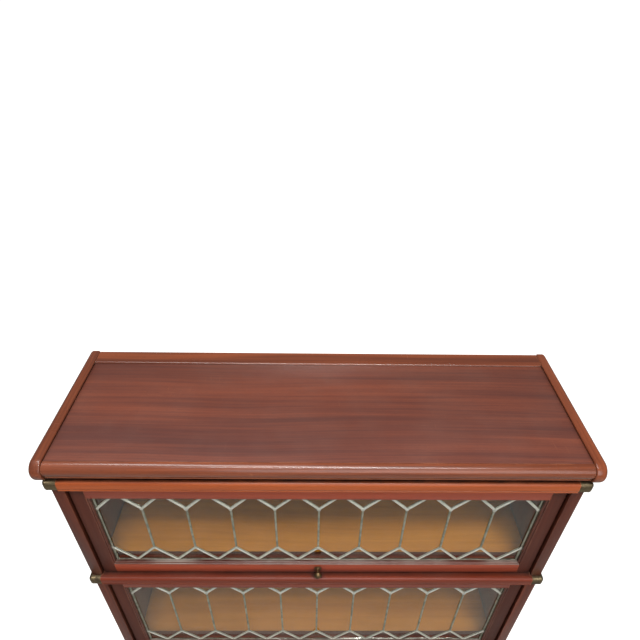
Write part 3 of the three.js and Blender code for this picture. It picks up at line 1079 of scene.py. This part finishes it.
@dataclass
class Section:
    """One stacked carcase: sides, back, bottom board, cross rail and metal side bands.

    Attributes:
        tier: which section it is.
        side_ease: how far a side panel's arrises are rounded.
        groove_depth: how deep the door pins' groove is.
        groove_slack: the gap between a pin and its groove.
        plank_width: about how wide a back board is.
        plank_gap: half the gap between two back boards.
        plank_ease: how far their arrises are rounded.
        back_recess: how far the back boards lie inside the back's face.
        screw_inset: how far the screws stand from the back's top and bottom.
        shelf_split: where the bottom board is glued, as a share of its depth.
        shelf_gap: half the width of that glue line.
        shelf_ease: how far the bottom board's arrises are rounded.
        lipping_ease: how far its lipping's arrises are rounded.
        seat_gap: the gap between the rail or a band and the side panels.
        rail_round: the radius of the cross rail's upper arris.
        band_round: the radius of a band's long arrises.
        band_corner: the radius of a band's front corner.
        band_nose: how far the band's inner front arris is cut off.
    """

    tier: Tier
    side_ease: float = 1.6 * MM
    groove_depth: float = 8 * MM
    groove_slack: float = 0.4 * MM
    plank_width: float = 0.118
    plank_gap: float = 0.1 * MM
    plank_ease: float = 1 * MM
    back_recess: float = 0.6 * MM
    screw_inset: float = 9 * MM
    shelf_split: float = 0.56
    shelf_gap: float = 0.05 * MM
    shelf_ease: float = 0.4 * MM
    lipping_ease: float = 1.2 * MM
    seat_gap: float = 0.3 * MM
    rail_round: float = 5 * MM
    band_round: float = 7 * MM
    band_corner: float = 7 * MM
    band_nose: float = 1.5 * MM

    def node(self, part: str) -> str:
        """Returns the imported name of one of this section's nodes."""
        return f"{self.tier.value}_{part}"

    def build_side(self, side: Side) -> None:
        """Builds a side panel with the groove that the door's pin runs in.

        Args:
            side: the side that it closes.
        """
        name = self.node(f"side_{side.name.lower()}")
        low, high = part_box(name)
        pin_low, pin_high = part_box(self.node(f"door_pin_{side.name.lower()}"))
        piece = Form(name + "_eased").slab(low, high, self.side_ease).finish(
            CARCASE_WOOD, "carcase", [name], Grain.ALONG_Z
        )
        joint = next(j for j in frame["joints"] if j["name"] == f"{self.tier.value}_run_back")
        slack = self.groove_slack
        inner = low.x if side is Side.RIGHT else high.x
        reach = side.value * self.groove_depth
        xs = sorted((inner - side.value * MM, inner + reach))
        carve(
            piece,
            (xs[0], pin_low.y - slack, pin_low.z - slack),
            (xs[1], pin_high.y + joint["range_m"][1] + slack, pin_high.z + slack),
        )

    def build_back(self) -> None:
        """Builds the back from upright boards with eased joints, screwed at top and bottom."""
        name = self.node("back_panel")
        low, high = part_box(name)
        count = round((high.x - low.x) / self.plank_width)
        width = (high.x - low.x) / count
        boards = Form(name + "_boards")
        for i in range(count):
            left = low.x + i * width
            boards.slab(
                (left + self.plank_gap, low.y, low.z),
                (left + width - self.plank_gap, high.y - self.back_recess, high.z),
                self.plank_ease,
            )
        boards.finish(BACK_WOOD_PAINTED_SHADE, "carcase", [name], Grain.ALONG_Z)
        screws = Form(name + "_screws")
        dome = [(0, 3.2 * MM), (0.25 * MM, 3.1 * MM), (0.5 * MM, 2.2 * MM), (0.55 * MM, 0.4 * MM)]
        for i in range(count):
            for z in (low.z + self.screw_inset, high.z - self.screw_inset):
                place = Vector((low.x + (i + 0.5) * width, high.y - self.back_recess, z))
                screws.turned(dome, place, Vector((0, 1, 0)), 16)
        screws.finish(PIN_STEEL, "carcase")

    def build_bottom(self) -> None:
        """Builds the bottom board from two glued boards, and its mahogany lipping."""
        name = self.node("shelf_board")
        low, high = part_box(name)
        joint = low.y + self.shelf_split * (high.y - low.y)
        board = Form(name + "_glued")
        board.slab(low, (high.x, joint - self.shelf_gap, high.z), self.shelf_ease)
        board.slab((low.x, joint + self.shelf_gap, low.z), high, self.shelf_ease)
        board.finish(SHELF_WOOD, "carcase", [name])
        name = self.node("shelf_lipping")
        low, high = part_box(name)
        lipping = Form(name + "_eased").slab(low, high, self.lipping_ease, 3)
        lipping.finish(CARCASE_WOOD, "carcase", [name])

    def build_rail(self) -> None:
        """Builds the cross rail: a soft face with a small bead along its lower edge."""
        name = self.node("cross_rail")
        low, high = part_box(name)
        side_low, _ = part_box(self.node("side_right"))
        seat = side_low.y - self.seat_gap
        r = self.rail_round
        front = low.y
        face = [
            (seat, high.z),
            *arc((front + r, high.z - r), (r, r), 90, 172, 6),
            (front, high.z - r - 3 * MM),
            (front, low.z + 6 * MM),
            (front + 0.9 * MM, low.z + 4.6 * MM),
            *arc((front + 1.9 * MM, low.z + 2.2 * MM), (1.9 * MM, 2.2 * MM), 110, 270, 6),
            (seat, low.z),
        ]
        rail = Form(name + "_moulded")
        rail.run(face, 0, low.x, high.x)
        lap = seat - 0.1 * MM
        body = [(high.y, low.z), (high.y, high.z), (lap, high.z), (lap, low.z)]
        rail.run(body, 0, -side_low.x + self.seat_gap, side_low.x - self.seat_gap)
        # The upper rail takes the lighter copy of the rail mahogany, which is painted light.
        rail.finish(RAIL_WOOD_PAINTED_LIT if self.tier is Tier.UPPER else RAIL_WOOD, "carcase", [name])

    def band_plan(self, name: str, side_name: str, amount: float) -> list[Point]:
        """Works out a band's plan on the right side, drawn in from its outer faces.

        Args:
            name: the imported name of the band.
            side_name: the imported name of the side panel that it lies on.
            amount: how far it is drawn in.

        Returns:
            Its (X, Y) points.
        """
        low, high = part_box(name)
        side_low, side_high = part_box(side_name)
        outer = max(abs(low.x), abs(high.x))
        inner = min(abs(low.x), abs(high.x))
        face = max(abs(side_low.x), abs(side_high.x)) + self.seat_gap
        front = low.y
        seat = side_low.y - self.seat_gap
        corner = self.band_corner
        nose = self.band_nose
        points = []
        turn = arc((outer - corner, front + corner), (corner, corner), 270, 360, 8)
        for x, y in [(inner, seat), (inner, front + nose), (inner + nose, front), *turn]:
            share = max(x - (outer - corner), 0) / corner
            pushed = max(y, front + amount) if share <= 0 else y + amount * (1 - share)
            points.append((x - amount * share, pushed))
        for x, y in [(outer, high.y - 1 * MM), (outer - 1 * MM, high.y), (face, high.y), (face, seat)]:
            points.append((min(x, outer - amount), y))
        return points

    def build_band(self, side: Side) -> None:
        """Builds a metal band: a rounded bar along the side, turned round the front corner.

        Args:
            side: the side that it lies on.
        """
        name = self.node(f"band_{side.name.lower()}")
        side_name = self.node(f"side_{side.name.lower()}")
        low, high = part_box(name)
        rings = []
        r = self.band_round
        middle = (low.z + high.z) / 2
        half = (high.z - low.z) / 2
        for k in range(13):
            angle = math.radians(-90 + 180 * k / 12)
            level = 1 if k > 6 else -1 if k < 6 else 0
            z = middle + (half - r) * level + r * math.sin(angle)
            plan = self.band_plan(name, side_name, r * (1 - math.cos(angle)) * 0.75)
            rings.append([Vector((side.value * x, y, z)) for x, y in plan])
        Form(name + "_rounded").rings(rings).finish(BAND_BRONZE, "carcase", [name])

    def build(self) -> None:
        """Builds the whole carcase of the section."""
        for side in Side:
            self.build_side(side)
            self.build_band(side)
        self.build_back()
        self.build_bottom()
        self.build_rail()


@dataclass
class LeadedDoor:
    """A lift-up door: a mahogany frame round long hexagonal panes set in lead.

    Attributes:
        tier: the section that it closes.
        stile_ease: how far the stiles' arrises are rounded.
        rail_ease: how far the rails' arrises are rounded.
        joint_gap: the gap between a rail and a stile, and how far its face lies back.
        moulding_width: how wide the sight moulding is.
        moulding_depth: how deep it is.
        bead_depth: how deep the glazing beads are.
        bead_lap: how far a bead reaches inside the sight.
        bead_ease: how far its arrises are rounded.
        panes: how many long panes there are side by side.
        apex_height: the height of a pane's pointed end.
        pane_pitch: the distance from one upright came to the next.
        pane_inset: the gap between a pane's edge and the came's centre line.
        came_width: twice how far the leading's outer lines lie outside the sight.
        upper_width: the width of the slanting cames at the top.
        lower_width: the width of those at the bottom.
        upright_width: the width of the upright and outer cames.
        came_height: how far a leaf's middle stands above its edges.
        came_back: how far the back leaves' faces lie behind the glass.
        pane_thickness: the thickness of the glass.
        tilt_across: the most that a pane leans to one side.
        tilt_up: the most that it leans back.
        lead_angle: edges of the lead flatter than this are shaded smooth.
        luck: draws the panes' lean, then the solder's sizes.
    """

    tier: Tier
    stile_ease: float = 1 * MM
    rail_ease: float = 0.9 * MM
    joint_gap: float = 0.05 * MM
    moulding_width: float = 4 * MM
    moulding_depth: float = 8.5 * MM
    bead_depth: float = 4.2 * MM
    bead_lap: float = 1 * MM
    bead_ease: float = 0.9 * MM
    panes: int = 10
    apex_height: float = 40 * MM
    pane_pitch: float = 76.2 * MM
    pane_inset: float = 0.9 * MM
    came_width: float = 5 * MM
    upper_width: float = 4.8 * MM
    lower_width: float = 3.8 * MM
    upright_width: float = 3.7 * MM
    came_height: float = 1.3 * MM
    came_back: float = 1.4 * MM
    pane_thickness: float = 2.4 * MM
    tilt_across: float = math.radians(0.9)
    tilt_up: float = math.radians(0.35)
    lead_angle: float = math.radians(60)
    luck: random.Random = field(default_factory=lambda: random.Random(11))

    def __post_init__(self) -> None:
        """Reads the door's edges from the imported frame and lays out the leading's lines."""
        self.body = f"{self.tier.value}_door"
        stile_low, stile_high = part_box(self.node("stile_right"))
        top_low, top_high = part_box(self.node("top_rail"))
        bottom_low, bottom_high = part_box(self.node("bottom_rail"))
        self.front, self.back = stile_low.y, stile_high.y
        self.outer = stile_high.x
        self.sight = stile_low.x
        self.top, self.bottom = top_high.z, bottom_low.z
        self.sight_top = top_low.z
        self.sight_bottom = bottom_high.z
        half = self.came_width / 2
        self.lead_top, self.lead_bottom = self.sight_top + half, self.sight_bottom - half
        self.shoulder = self.lead_top - self.apex_height
        self.foot = self.lead_bottom + self.apex_height
        self.lines = [(i - self.panes / 2) * self.pane_pitch for i in range(self.panes + 1)]

    def node(self, part: str) -> str:
        """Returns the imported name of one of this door's nodes."""
        return f"{self.tier.value}_door_{part}"

    def build_frame(self) -> None:
        """Builds the stiles and rails, which meet square, with eased arrises."""
        flat = self.sight + self.moulding_width
        low_rail = self.sight_bottom - self.moulding_width
        high_rail = self.sight_top + self.moulding_width
        for side in Side:
            name = self.node(f"stile_{side.name.lower()}")
            xs = sorted((side.value * flat, side.value * self.outer))
            low, high = (xs[0], self.front, self.bottom), (xs[1], self.back, self.top)
            stile = Form(name + "_eased").slab(low, high, self.stile_ease)
            stile.finish(STILE_WOOD, self.body, [name], Grain.ALONG_Z)
        gap = self.joint_gap
        rails = (("top_rail", high_rail, self.top), ("bottom_rail", self.bottom, low_rail))
        for part, low_z, high_z in rails:
            name = self.node(part)
            low, high = (-flat + gap, self.front + gap, low_z), (flat - gap, self.back, high_z)
            Form(name + "_eased").slab(low, high, self.rail_ease).finish(DOOR_WOOD, self.body, [name])

    def moulding_outline(self) -> list[Point]:
        """Works out the moulding's section.

        Returns:
            Points as (distance out from the sight, depth behind the face).
        """
        width, depth = self.moulding_width, self.moulding_depth
        return [
            (width, 0.25 * MM),
            (width - 0.7 * MM, 0.2 * MM),
            (width - 1.2 * MM, 0.9 * MM),
            (width - 1.3 * MM, 2.4 * MM),
            *arc((1.3 * MM, 5.2 * MM), (1.35 * MM, 2.6 * MM), 300, 140, 8),
            (0.0, depth),
            (width, depth),
        ]

    def build_moulding(self) -> None:
        """Builds the bead moulding round the glass, mitred at its four corners."""
        outline = self.moulding_outline()
        form = Form(self.node("sight_moulding"))
        for sign in (-1, 1):
            stile = [(self.front + d, sign * (self.sight + w)) for w, d in outline]
            form.run(
                [(x, y) for y, x in stile],
                2,
                lambda x, y: self.sight_bottom - (abs(x) - self.sight),
                lambda x, y: self.sight_top + (abs(x) - self.sight),
            )
        for edge, sign in ((self.sight_top, 1), (self.sight_bottom, -1)):
            form.run(
                [(self.front + d, edge + sign * w) for w, d in outline],
                0,
                lambda y, z, e=edge: -self.sight - abs(z - e),
                lambda y, z, e=edge: self.sight + abs(z - e),
            )
        form.finish(MOULDING_WOOD, self.body)

    def build_beads(self) -> None:
        """Builds the four glazing beads that hold the glass from behind."""
        width, lap = self.moulding_width, self.bead_lap
        front, back = self.back - self.bead_depth, self.back - 0.3 * MM
        edge = 0.1 * MM
        reach = self.sight + width - 5 * MM
        beads = Form(self.node("glazing_beads"))
        for low_z in (self.sight_top - lap, self.sight_bottom - width + edge):
            low = (-self.sight - width + 5 * MM, front, low_z)
            beads.slab(low, (reach, back, low_z + width + 0.9 * MM), self.bead_ease)
        for sign in (-1, 1):
            xs = sorted((sign * (self.sight - lap), sign * (self.sight + width - edge)))
            foot, head = self.sight_bottom - width + edge, self.sight_top + width - edge
            beads.slab((xs[0], front, foot), (xs[1], back, head), self.bead_ease)
        beads.finish(DOOR_WOOD, self.body)

    def cells(self) -> list[list[Point]]:
        """Works out each pane's outline, anticlockwise, on the came centre lines.

        Returns:
            The panes' (X, Z) points.
        """
        top, bottom = self.lead_top, self.lead_bottom
        shoulder, foot = self.shoulder, self.foot
        tips = [(a + b) / 2 for a, b in zip(self.lines, self.lines[1:])]
        cells = []
        for tip, left, right in zip(tips, self.lines, self.lines[1:]):
            lower = [(left, foot), (tip, bottom), (right, foot)]
            cells.append([*lower, (right, shoulder), (tip, top), (left, shoulder)])
        ends = [self.lines[0], *tips, self.lines[-1]]
        for i, line in enumerate(self.lines):
            cells.append([(ends[i], top), (line, shoulder), (ends[i + 1], top)])
            cells.append([(ends[i], bottom), (ends[i + 1], bottom), (line, foot)])
        return cells

    def build_panes(self) -> None:
        """Builds every pane as its own sheet of glass, each lying a little out of true."""
        low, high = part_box(self.node("glass"))
        middle = (low.y + high.y) / 2
        form = Form(self.node("panes"))
        half = self.pane_thickness / 2
        for cell in self.cells():
            outline = inset(cell, self.pane_inset)
            cx = sum(x for x, _ in outline) / len(outline)
            cz = sum(z for _, z in outline) / len(outline)
            lean_x = self.luck.uniform(-self.tilt_across, self.tilt_across)
            lean_z = self.luck.uniform(-self.tilt_up, self.tilt_up)
            rings = []
            for offset in (-half, half):
                ring = []
                for x, z in outline:
                    y = middle + offset + (x - cx) * math.tan(lean_x) + (z - cz) * math.tan(lean_z)
                    ring.append(Vector((x, y, z)))
                rings.append(ring)
            form.rings(rings)
        form.finish(CLEAR_GLASS, self.body, [self.node("glass")])

    def came(self, form: Form, start: Point, end: Point, width: float, front: float, back: float) -> None:
        """Adds one lead came between two (X, Z) points: a rounded leaf on each face of the glass.

        Args:
            form: the form that it is added to.
            start: one end of its centre line.
            end: the other end.
            width: how wide its leaves are.
            front: where its front leaf's face is.
            back: where its back leaf's face is.
        """
        along = (Vector(end) - Vector(start)).normalized()
        across = Vector((-along.y, along.x)) * (width / 2)
        for face, inward in ((front, 1), (back, -1)):
            rings = []
            for place in (start, end):
                ring = []
                for share, rise in CAME_SECTION:
                    x, z = Vector(place) + across * share
                    ring.append(Vector((x, face + inward * self.came_height * (1 - rise), z)))
                rings.append(ring)
            form.rings(rings)

    def build_leading(self) -> None:
        """Builds the lead: uprights, slanting cames, the outer came and a solder joint at each meeting."""
        low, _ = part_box(self.node("leading"))
        _, glass_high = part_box(self.node("glass"))
        front, back = low.y, glass_high.y + self.came_back
        top, bottom = self.lead_top, self.lead_bottom
        shoulder, foot = self.shoulder, self.foot
        xs, wide = self.lines, self.upright_width
        slanted = Form(self.node("lead_slanting_cames"))
        upright = Form(self.node("lead_upright_cames"))
        for x in xs:
            self.came(upright, (x, foot), (x, shoulder), wide, front + 0.25 * MM, back)
        for z in (top + 1 * MM, bottom - 1 * MM):
            self.came(upright, (xs[0], z), (xs[-1], z), wide, front + 0.3 * MM, back)
        for x in (xs[0], xs[-1]):
            self.came(upright, (x, bottom), (x, top), wide, front + 0.32 * MM, back)
        joints = [(x, z) for x in xs for z in (shoulder, foot)]
        for left, right in zip(xs, xs[1:]):
            tip = (left + right) / 2
            for edge, node, width in ((top, shoulder, self.upper_width), (bottom, foot, self.lower_width)):
                self.came(slanted, (left, node), (tip, edge), width, front, back)
                self.came(slanted, (right, node), (tip, edge), width, front, back)
                joints.append((tip, edge))
        # The slanting cames take the paler lead, which is a painted highlight.
        slanted.finish(LEAD_CAME_PAINTED_LIT, self.body, [self.node("leading")], smooth=self.lead_angle)
        upright.finish(LEAD_UPRIGHT, self.body, smooth=self.lead_angle)
        self.build_solder(joints, front + 0.3 * MM)

    def build_solder(self, joints: Sequence[Point], face: float) -> None:
        """Builds a small uneven lump of solder on each joint of the lead.

        Args:
            joints: the joints' (X, Z) points.
            face: how far forward the lumps sit.
        """
        solder = Form(self.node("solder_joints"))
        for x, z in joints:
            size = self.luck.uniform(3.2, 4.3) * MM
            rise = self.luck.uniform(0.5, 0.9) * MM
            profile = [
                (-rise * 0.2, size),
                (0.25 * rise, 0.93 * size),
                (0.7 * rise, 0.66 * size),
                (rise, 0.2 * size),
            ]
            aside, upward = self.luck.uniform(-0.4, 0.4) * MM, self.luck.uniform(-0.4, 0.4) * MM
            place = Vector((x, face, z)) + Vector((aside, 0, upward))
            solder.turned(profile, place, Vector((0, -1, 0)), 14)
        solder.finish(SOLDER, self.body, smooth=self.lead_angle)

    def build_knob(self) -> None:
        """Builds the turned brass knob: a small rose, a waisted stem and a flattened ball."""
        name = self.node("knob")
        low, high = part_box(name)
        seat = Vector(((low.x + high.x) / 2, high.y, (low.z + high.z) / 2))
        reach = high.y - low.y
        radius = (high.x - low.x) / 2
        neck = 0.42 * radius
        profile = [
            (0.0, 0.92 * radius),
            (0.6 * MM, 0.93 * radius),
            (1.1 * MM, 0.84 * radius),
            (1.5 * MM, 0.62 * radius),
            (2.0 * MM, 0.58 * radius),
            (2.4 * MM, neck * 1.15),
            (0.3 * reach, neck),
            (0.38 * reach, neck * 1.02),
            (0.42 * reach, neck * 1.35),
            (0.45 * reach, neck * 1.4),
        ]
        centre = 0.715 * reach
        half = 0.285 * reach
        for degrees in range(-58, 90, 12):
            angle = math.radians(degrees)
            profile.append((centre + half * math.sin(angle), radius * math.cos(angle)))
        profile.append((reach, 0.15 * MM))
        knob = Form(name + "_turned").turned(profile, seat, Vector((0, -1, 0)), 40)
        knob.finish(KNOB_BRASS, self.body, [name], smooth=math.radians(45))

    def build_pins(self) -> None:
        """Builds the two steel pins that the door turns and runs on."""
        for side in Side:
            name = self.node(f"pin_{side.name.lower()}")
            low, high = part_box(name)
            length, radius = high.x - low.x, (high.y - low.y) / 2
            start = low if side is Side.RIGHT else high
            place = Vector((start.x, (low.y + high.y) / 2, (low.z + high.z) / 2))
            profile = [
                (0, radius - 0.5 * MM),
                (0.5 * MM, radius),
                (length - 0.9 * MM, radius),
                (length - 0.3 * MM, radius - 0.5 * MM),
                (length, radius - 1.4 * MM),
            ]
            pin = Form(name + "_turned").turned(profile, place, Vector((side.value, 0, 0)), 24)
            pin.finish(PIN_STEEL, f"{self.tier.value}_carriage", [name])

    def build(self) -> None:
        """Builds the whole door."""
        self.build_frame()
        self.build_moulding()
        self.build_beads()
        self.build_panes()
        self.build_leading()
        self.build_knob()
        self.build_pins()


@dataclass
class Plinth:
    """The base: three moulded boards mitred at the front corners, and a plain back.

    Attributes:
        drop: how far the moulding's shoulder lies below the plinth's top.
        neck: how far its top stands out from the carcase.
        thickness: the thickness of the boards.
        mitre_gap: how far a board stops short of the mitre.
        inner_gap: the gap between the boards and what lies inside them.
        lid_foot: how far the dust board's underside lies below the plinth's top.
        lid_head: how far its top does.
        block_size: the width and depth of a glue block.
        block_foot: how far the glue blocks stand off the floor.
        block_ease: how far their arrises are rounded.
    """

    drop: float = 30 * MM
    neck: float = 9 * MM
    thickness: float = 20 * MM
    mitre_gap: float = 0.15 * MM
    inner_gap: float = 0.4 * MM
    lid_foot: float = 13 * MM
    lid_head: float = 1 * MM
    block_size: float = 34 * MM
    block_foot: float = 12 * MM
    block_ease: float = 1.5 * MM

    def outline(self, reach: float) -> list[Point]:
        """Works out the moulding's section.

        Args:
            reach: how far the board stands out from the carcase.

        Returns:
            Points as (distance out from the carcase, height).
        """
        low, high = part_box("base_front")
        shoulder = high.z - self.drop
        cove = reach - self.neck
        rise = self.drop / 3
        curve = arc((reach, shoulder + rise), (cove, rise), 262, 182, 7)
        return [
            (reach - self.thickness, low.z),
            (reach - 1 * MM, low.z),
            (reach, low.z + 1 * MM),
            (reach, shoulder - 1.6 * MM),
            (reach - 0.5 * MM, shoulder - 0.5 * MM),
            (reach - 1.6 * MM, shoulder),
            *curve[1:],
            (self.neck - 0.2 * MM, shoulder + rise + 0.6 * MM),
            *arc((self.neck - 3 * MM, high.z - 3 * MM), (3 * MM, 3 * MM), 0, 90, 4),
            (reach - self.thickness, high.z),
        ]

    def build(self) -> None:
        """Builds the plinth, its dust board and the glue blocks inside its front corners."""
        low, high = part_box("base_front")
        _, side_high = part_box("base_side_right")
        carcase_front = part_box("lower_side_right")[0].y
        carcase_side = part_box("lower_side_right")[1].x
        reach = carcase_front - low.y
        gap = self.mitre_gap
        front = [(carcase_front - out, z) for out, z in self.outline(reach)]
        board = Form("base_front_moulded").run(
            front,
            0,
            lambda y, z: -(carcase_side + (carcase_front - y)) + gap,
            lambda y, z: carcase_side + (carcase_front - y) - gap,
        )
        board.finish(CARCASE_WOOD, "carcase", ["base_front"])
        for side in Side:
            outline = [(z, side.value * (carcase_side + out)) for out, z in self.outline(reach)]
            name = f"base_side_{side.name.lower()}"
            board = Form(name + "_moulded").run(
                outline,
                1,
                lambda z, x: carcase_front - (abs(x) - carcase_side) + gap,
                side_high.y,
            )
            board.finish(CARCASE_WOOD, "carcase", [name], Grain.ALONG_Y)
        back_low, back_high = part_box("base_back")
        board = Form("base_back_eased").slab(back_low, back_high, 1 * MM)
        board.finish(BACK_WOOD_PAINTED_SHADE, "carcase", ["base_back"])
        inner_x = carcase_side + reach - self.thickness - self.inner_gap
        inner_y = carcase_front - reach + self.thickness + self.inner_gap
        dust_board = Form("base_dust_board").slab(
            (-inner_x, inner_y, high.z - self.lid_foot),
            (inner_x, back_low.y - self.inner_gap, high.z - self.lid_head),
            1 * MM,
        )
        dust_board.finish(CARCASE_WOOD, "carcase")
        blocks = Form("base_glue_blocks")
        block_top = high.z - 13.4 * MM
        for sign in (-1, 1):
            xs = sorted((sign * inner_x, sign * (inner_x - self.block_size)))
            blocks.slab(
                (xs[0], inner_y, self.block_foot),
                (xs[1], inner_y + self.block_size, block_top),
                self.block_ease,
            )
        blocks.finish(BACK_WOOD_PAINTED_SHADE, "carcase", grain=Grain.ALONG_Z)


@dataclass(frozen=True)
class SoftLight:
    """One soft rectangular light.

    Attributes:
        name: its name.
        place: where it hangs.
        aim: the point that it faces.
        size: its width and height.
        power: its strength in watts.
    """

    name: str
    place: tuple[float, float, float]
    aim: tuple[float, float, float]
    size: Point
    power: float


LIGHTS = (
    SoftLight("overhead_softbox", (-0.4, -0.55, 3.3), (0, 0, 1.1), (2.4, 0.42), 34),
    SoftLight("front_key", (0.2, -1.65, 4.0), (0, 0, 1.1), (2.2, 0.06), 42),
    SoftLight("front_fill", (0.7, -3.4, 2.2), (0, 0, 0.8), (3.0, 2.4), 56),
    SoftLight("back_fill", (0, 3.0, 0.55), (0, 0, 0.55), (0.8, 0.9), 45),
)


@dataclass
class Studio:
    """The plain floor, the soft lights and the camera.

    Attributes:
        eye: where the camera stands.
        pitch: how far it looks down, in degrees.
        yaw: how far it looks to the right, in degrees.
        roll: how far its right side leans down, in degrees.
        lens: its focal length on a 36 mm wide sensor, in millimetres.
        rise: how far the lens is shifted up, as a share of the sensor's width.
        floor_size: the width of the floor.
        floor_tone: the floor's colour.
        sky_strength: how bright the even surroundings are.
    """

    eye: tuple[float, float, float] = (-0.0126, -0.6491, 1.7276)
    pitch: float = 37.61
    yaw: float = 0.990
    roll: float = 1.055
    lens: float = 28.85
    rise: float = 0.0465
    floor_size: float = 120.0
    floor_tone: tuple[float, float, float, float] = (0.45, 0.44, 0.41, 1.0)
    sky_strength: float = 0.19

    def build_floor(self) -> None:
        """Builds the plain pale floor."""
        mesh = bpy.data.meshes.new("studio_floor")
        half = self.floor_size / 2
        corners = [(-half, -half, 0), (half, -half, 0), (half, half, 0), (-half, half, 0)]
        mesh.from_pydata(corners, [], [(0, 1, 2, 3)])
        floor = bpy.data.objects.new("studio_floor", mesh)
        bpy.context.scene.collection.objects.link(floor)
        material, nodes, shader = start_material("studio_floor")
        seen = nodes.add("LightPath").outputs["Is Camera Ray"]
        shader.inputs["Base Color"].default_value = self.floor_tone
        nodes.feed(shader, "Emission Color", nodes.mix(seen, (0.0, 0.0, 0.0), (1.0, 1.0, 1.0)))
        shader.inputs["Emission Strength"].default_value = 1.0
        shader.inputs["Roughness"].default_value = 0.9
        shader.inputs["Specular IOR Level"].default_value = 0.1
        mesh.materials.append(material)

    def add_light(self, light: SoftLight) -> None:
        """Hangs one light.

        Args:
            light: the light to hang.
        """
        data = bpy.data.lights.new(light.name, "AREA")
        data.shape = "RECTANGLE"
        data.size, data.size_y = light.size
        data.energy = light.power
        lamp = bpy.data.objects.new(light.name, data)
        lamp.location = light.place
        towards = Vector(light.aim) - Vector(light.place)
        lamp.rotation_euler = towards.to_track_quat("-Z", "Y").to_euler()
        bpy.context.scene.collection.objects.link(lamp)

    def build_lights(self) -> None:
        """Builds the even surroundings and hangs the four lights."""
        world = bpy.data.worlds.new("studio_world")
        world.use_nodes = True
        nodes = Nodes(world.node_tree)
        seen = nodes.add("LightPath").outputs["Is Camera Ray"]
        dim = (self.sky_strength,) * 3
        sky = world.node_tree.nodes["Background"]
        nodes.feed(sky, "Color", nodes.mix(seen, dim, (1.0, 1.0, 1.0)))
        bpy.context.scene.world = world
        for light in LIGHTS:
            self.add_light(light)

    def build_camera(self) -> None:
        """Builds the camera."""
        data = bpy.data.cameras.new("studio_camera")
        data.lens = self.lens
        data.shift_y = self.rise
        data.sensor_width = 36
        data.clip_start, data.clip_end = 0.01, 300
        camera = bpy.data.objects.new("studio_camera", data)
        down, turn, lean = (math.radians(a) for a in (self.pitch, self.yaw, self.roll))
        level = Vector((math.sin(turn), math.cos(turn), 0))
        look = level * math.cos(down) - Vector((0, 0, math.sin(down)))
        right = look.cross(Vector((0, 0, 1))).normalized()
        above = right.cross(look)
        right, above = (
            right * math.cos(lean) + above * math.sin(lean),
            above * math.cos(lean) - right * math.sin(lean),
        )
        axes = Matrix((right, above, -look)).transposed()
        camera.matrix_world = Matrix.Translation(Vector(self.eye)) @ axes.to_4x4()
        bpy.context.scene.collection.objects.link(camera)
        bpy.context.scene.camera = camera

    def build(self) -> None:
        """Builds the whole studio."""
        bpy.context.scene.view_settings.view_transform = "Standard"
        self.build_camera()
        self.build_floor()
        self.build_lights()


def main() -> None:
    """Builds the studio and every sub-assembly."""
    logging.basicConfig(level=logging.INFO, format="%(name)s: %(message)s")
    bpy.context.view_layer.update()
    Studio().build()
    Plinth().build()
    for tier in Tier:
        Section(tier).build()
        LeadedDoor(tier).build()
    TopUnit().build()


if __name__ == "__main__":
    main()
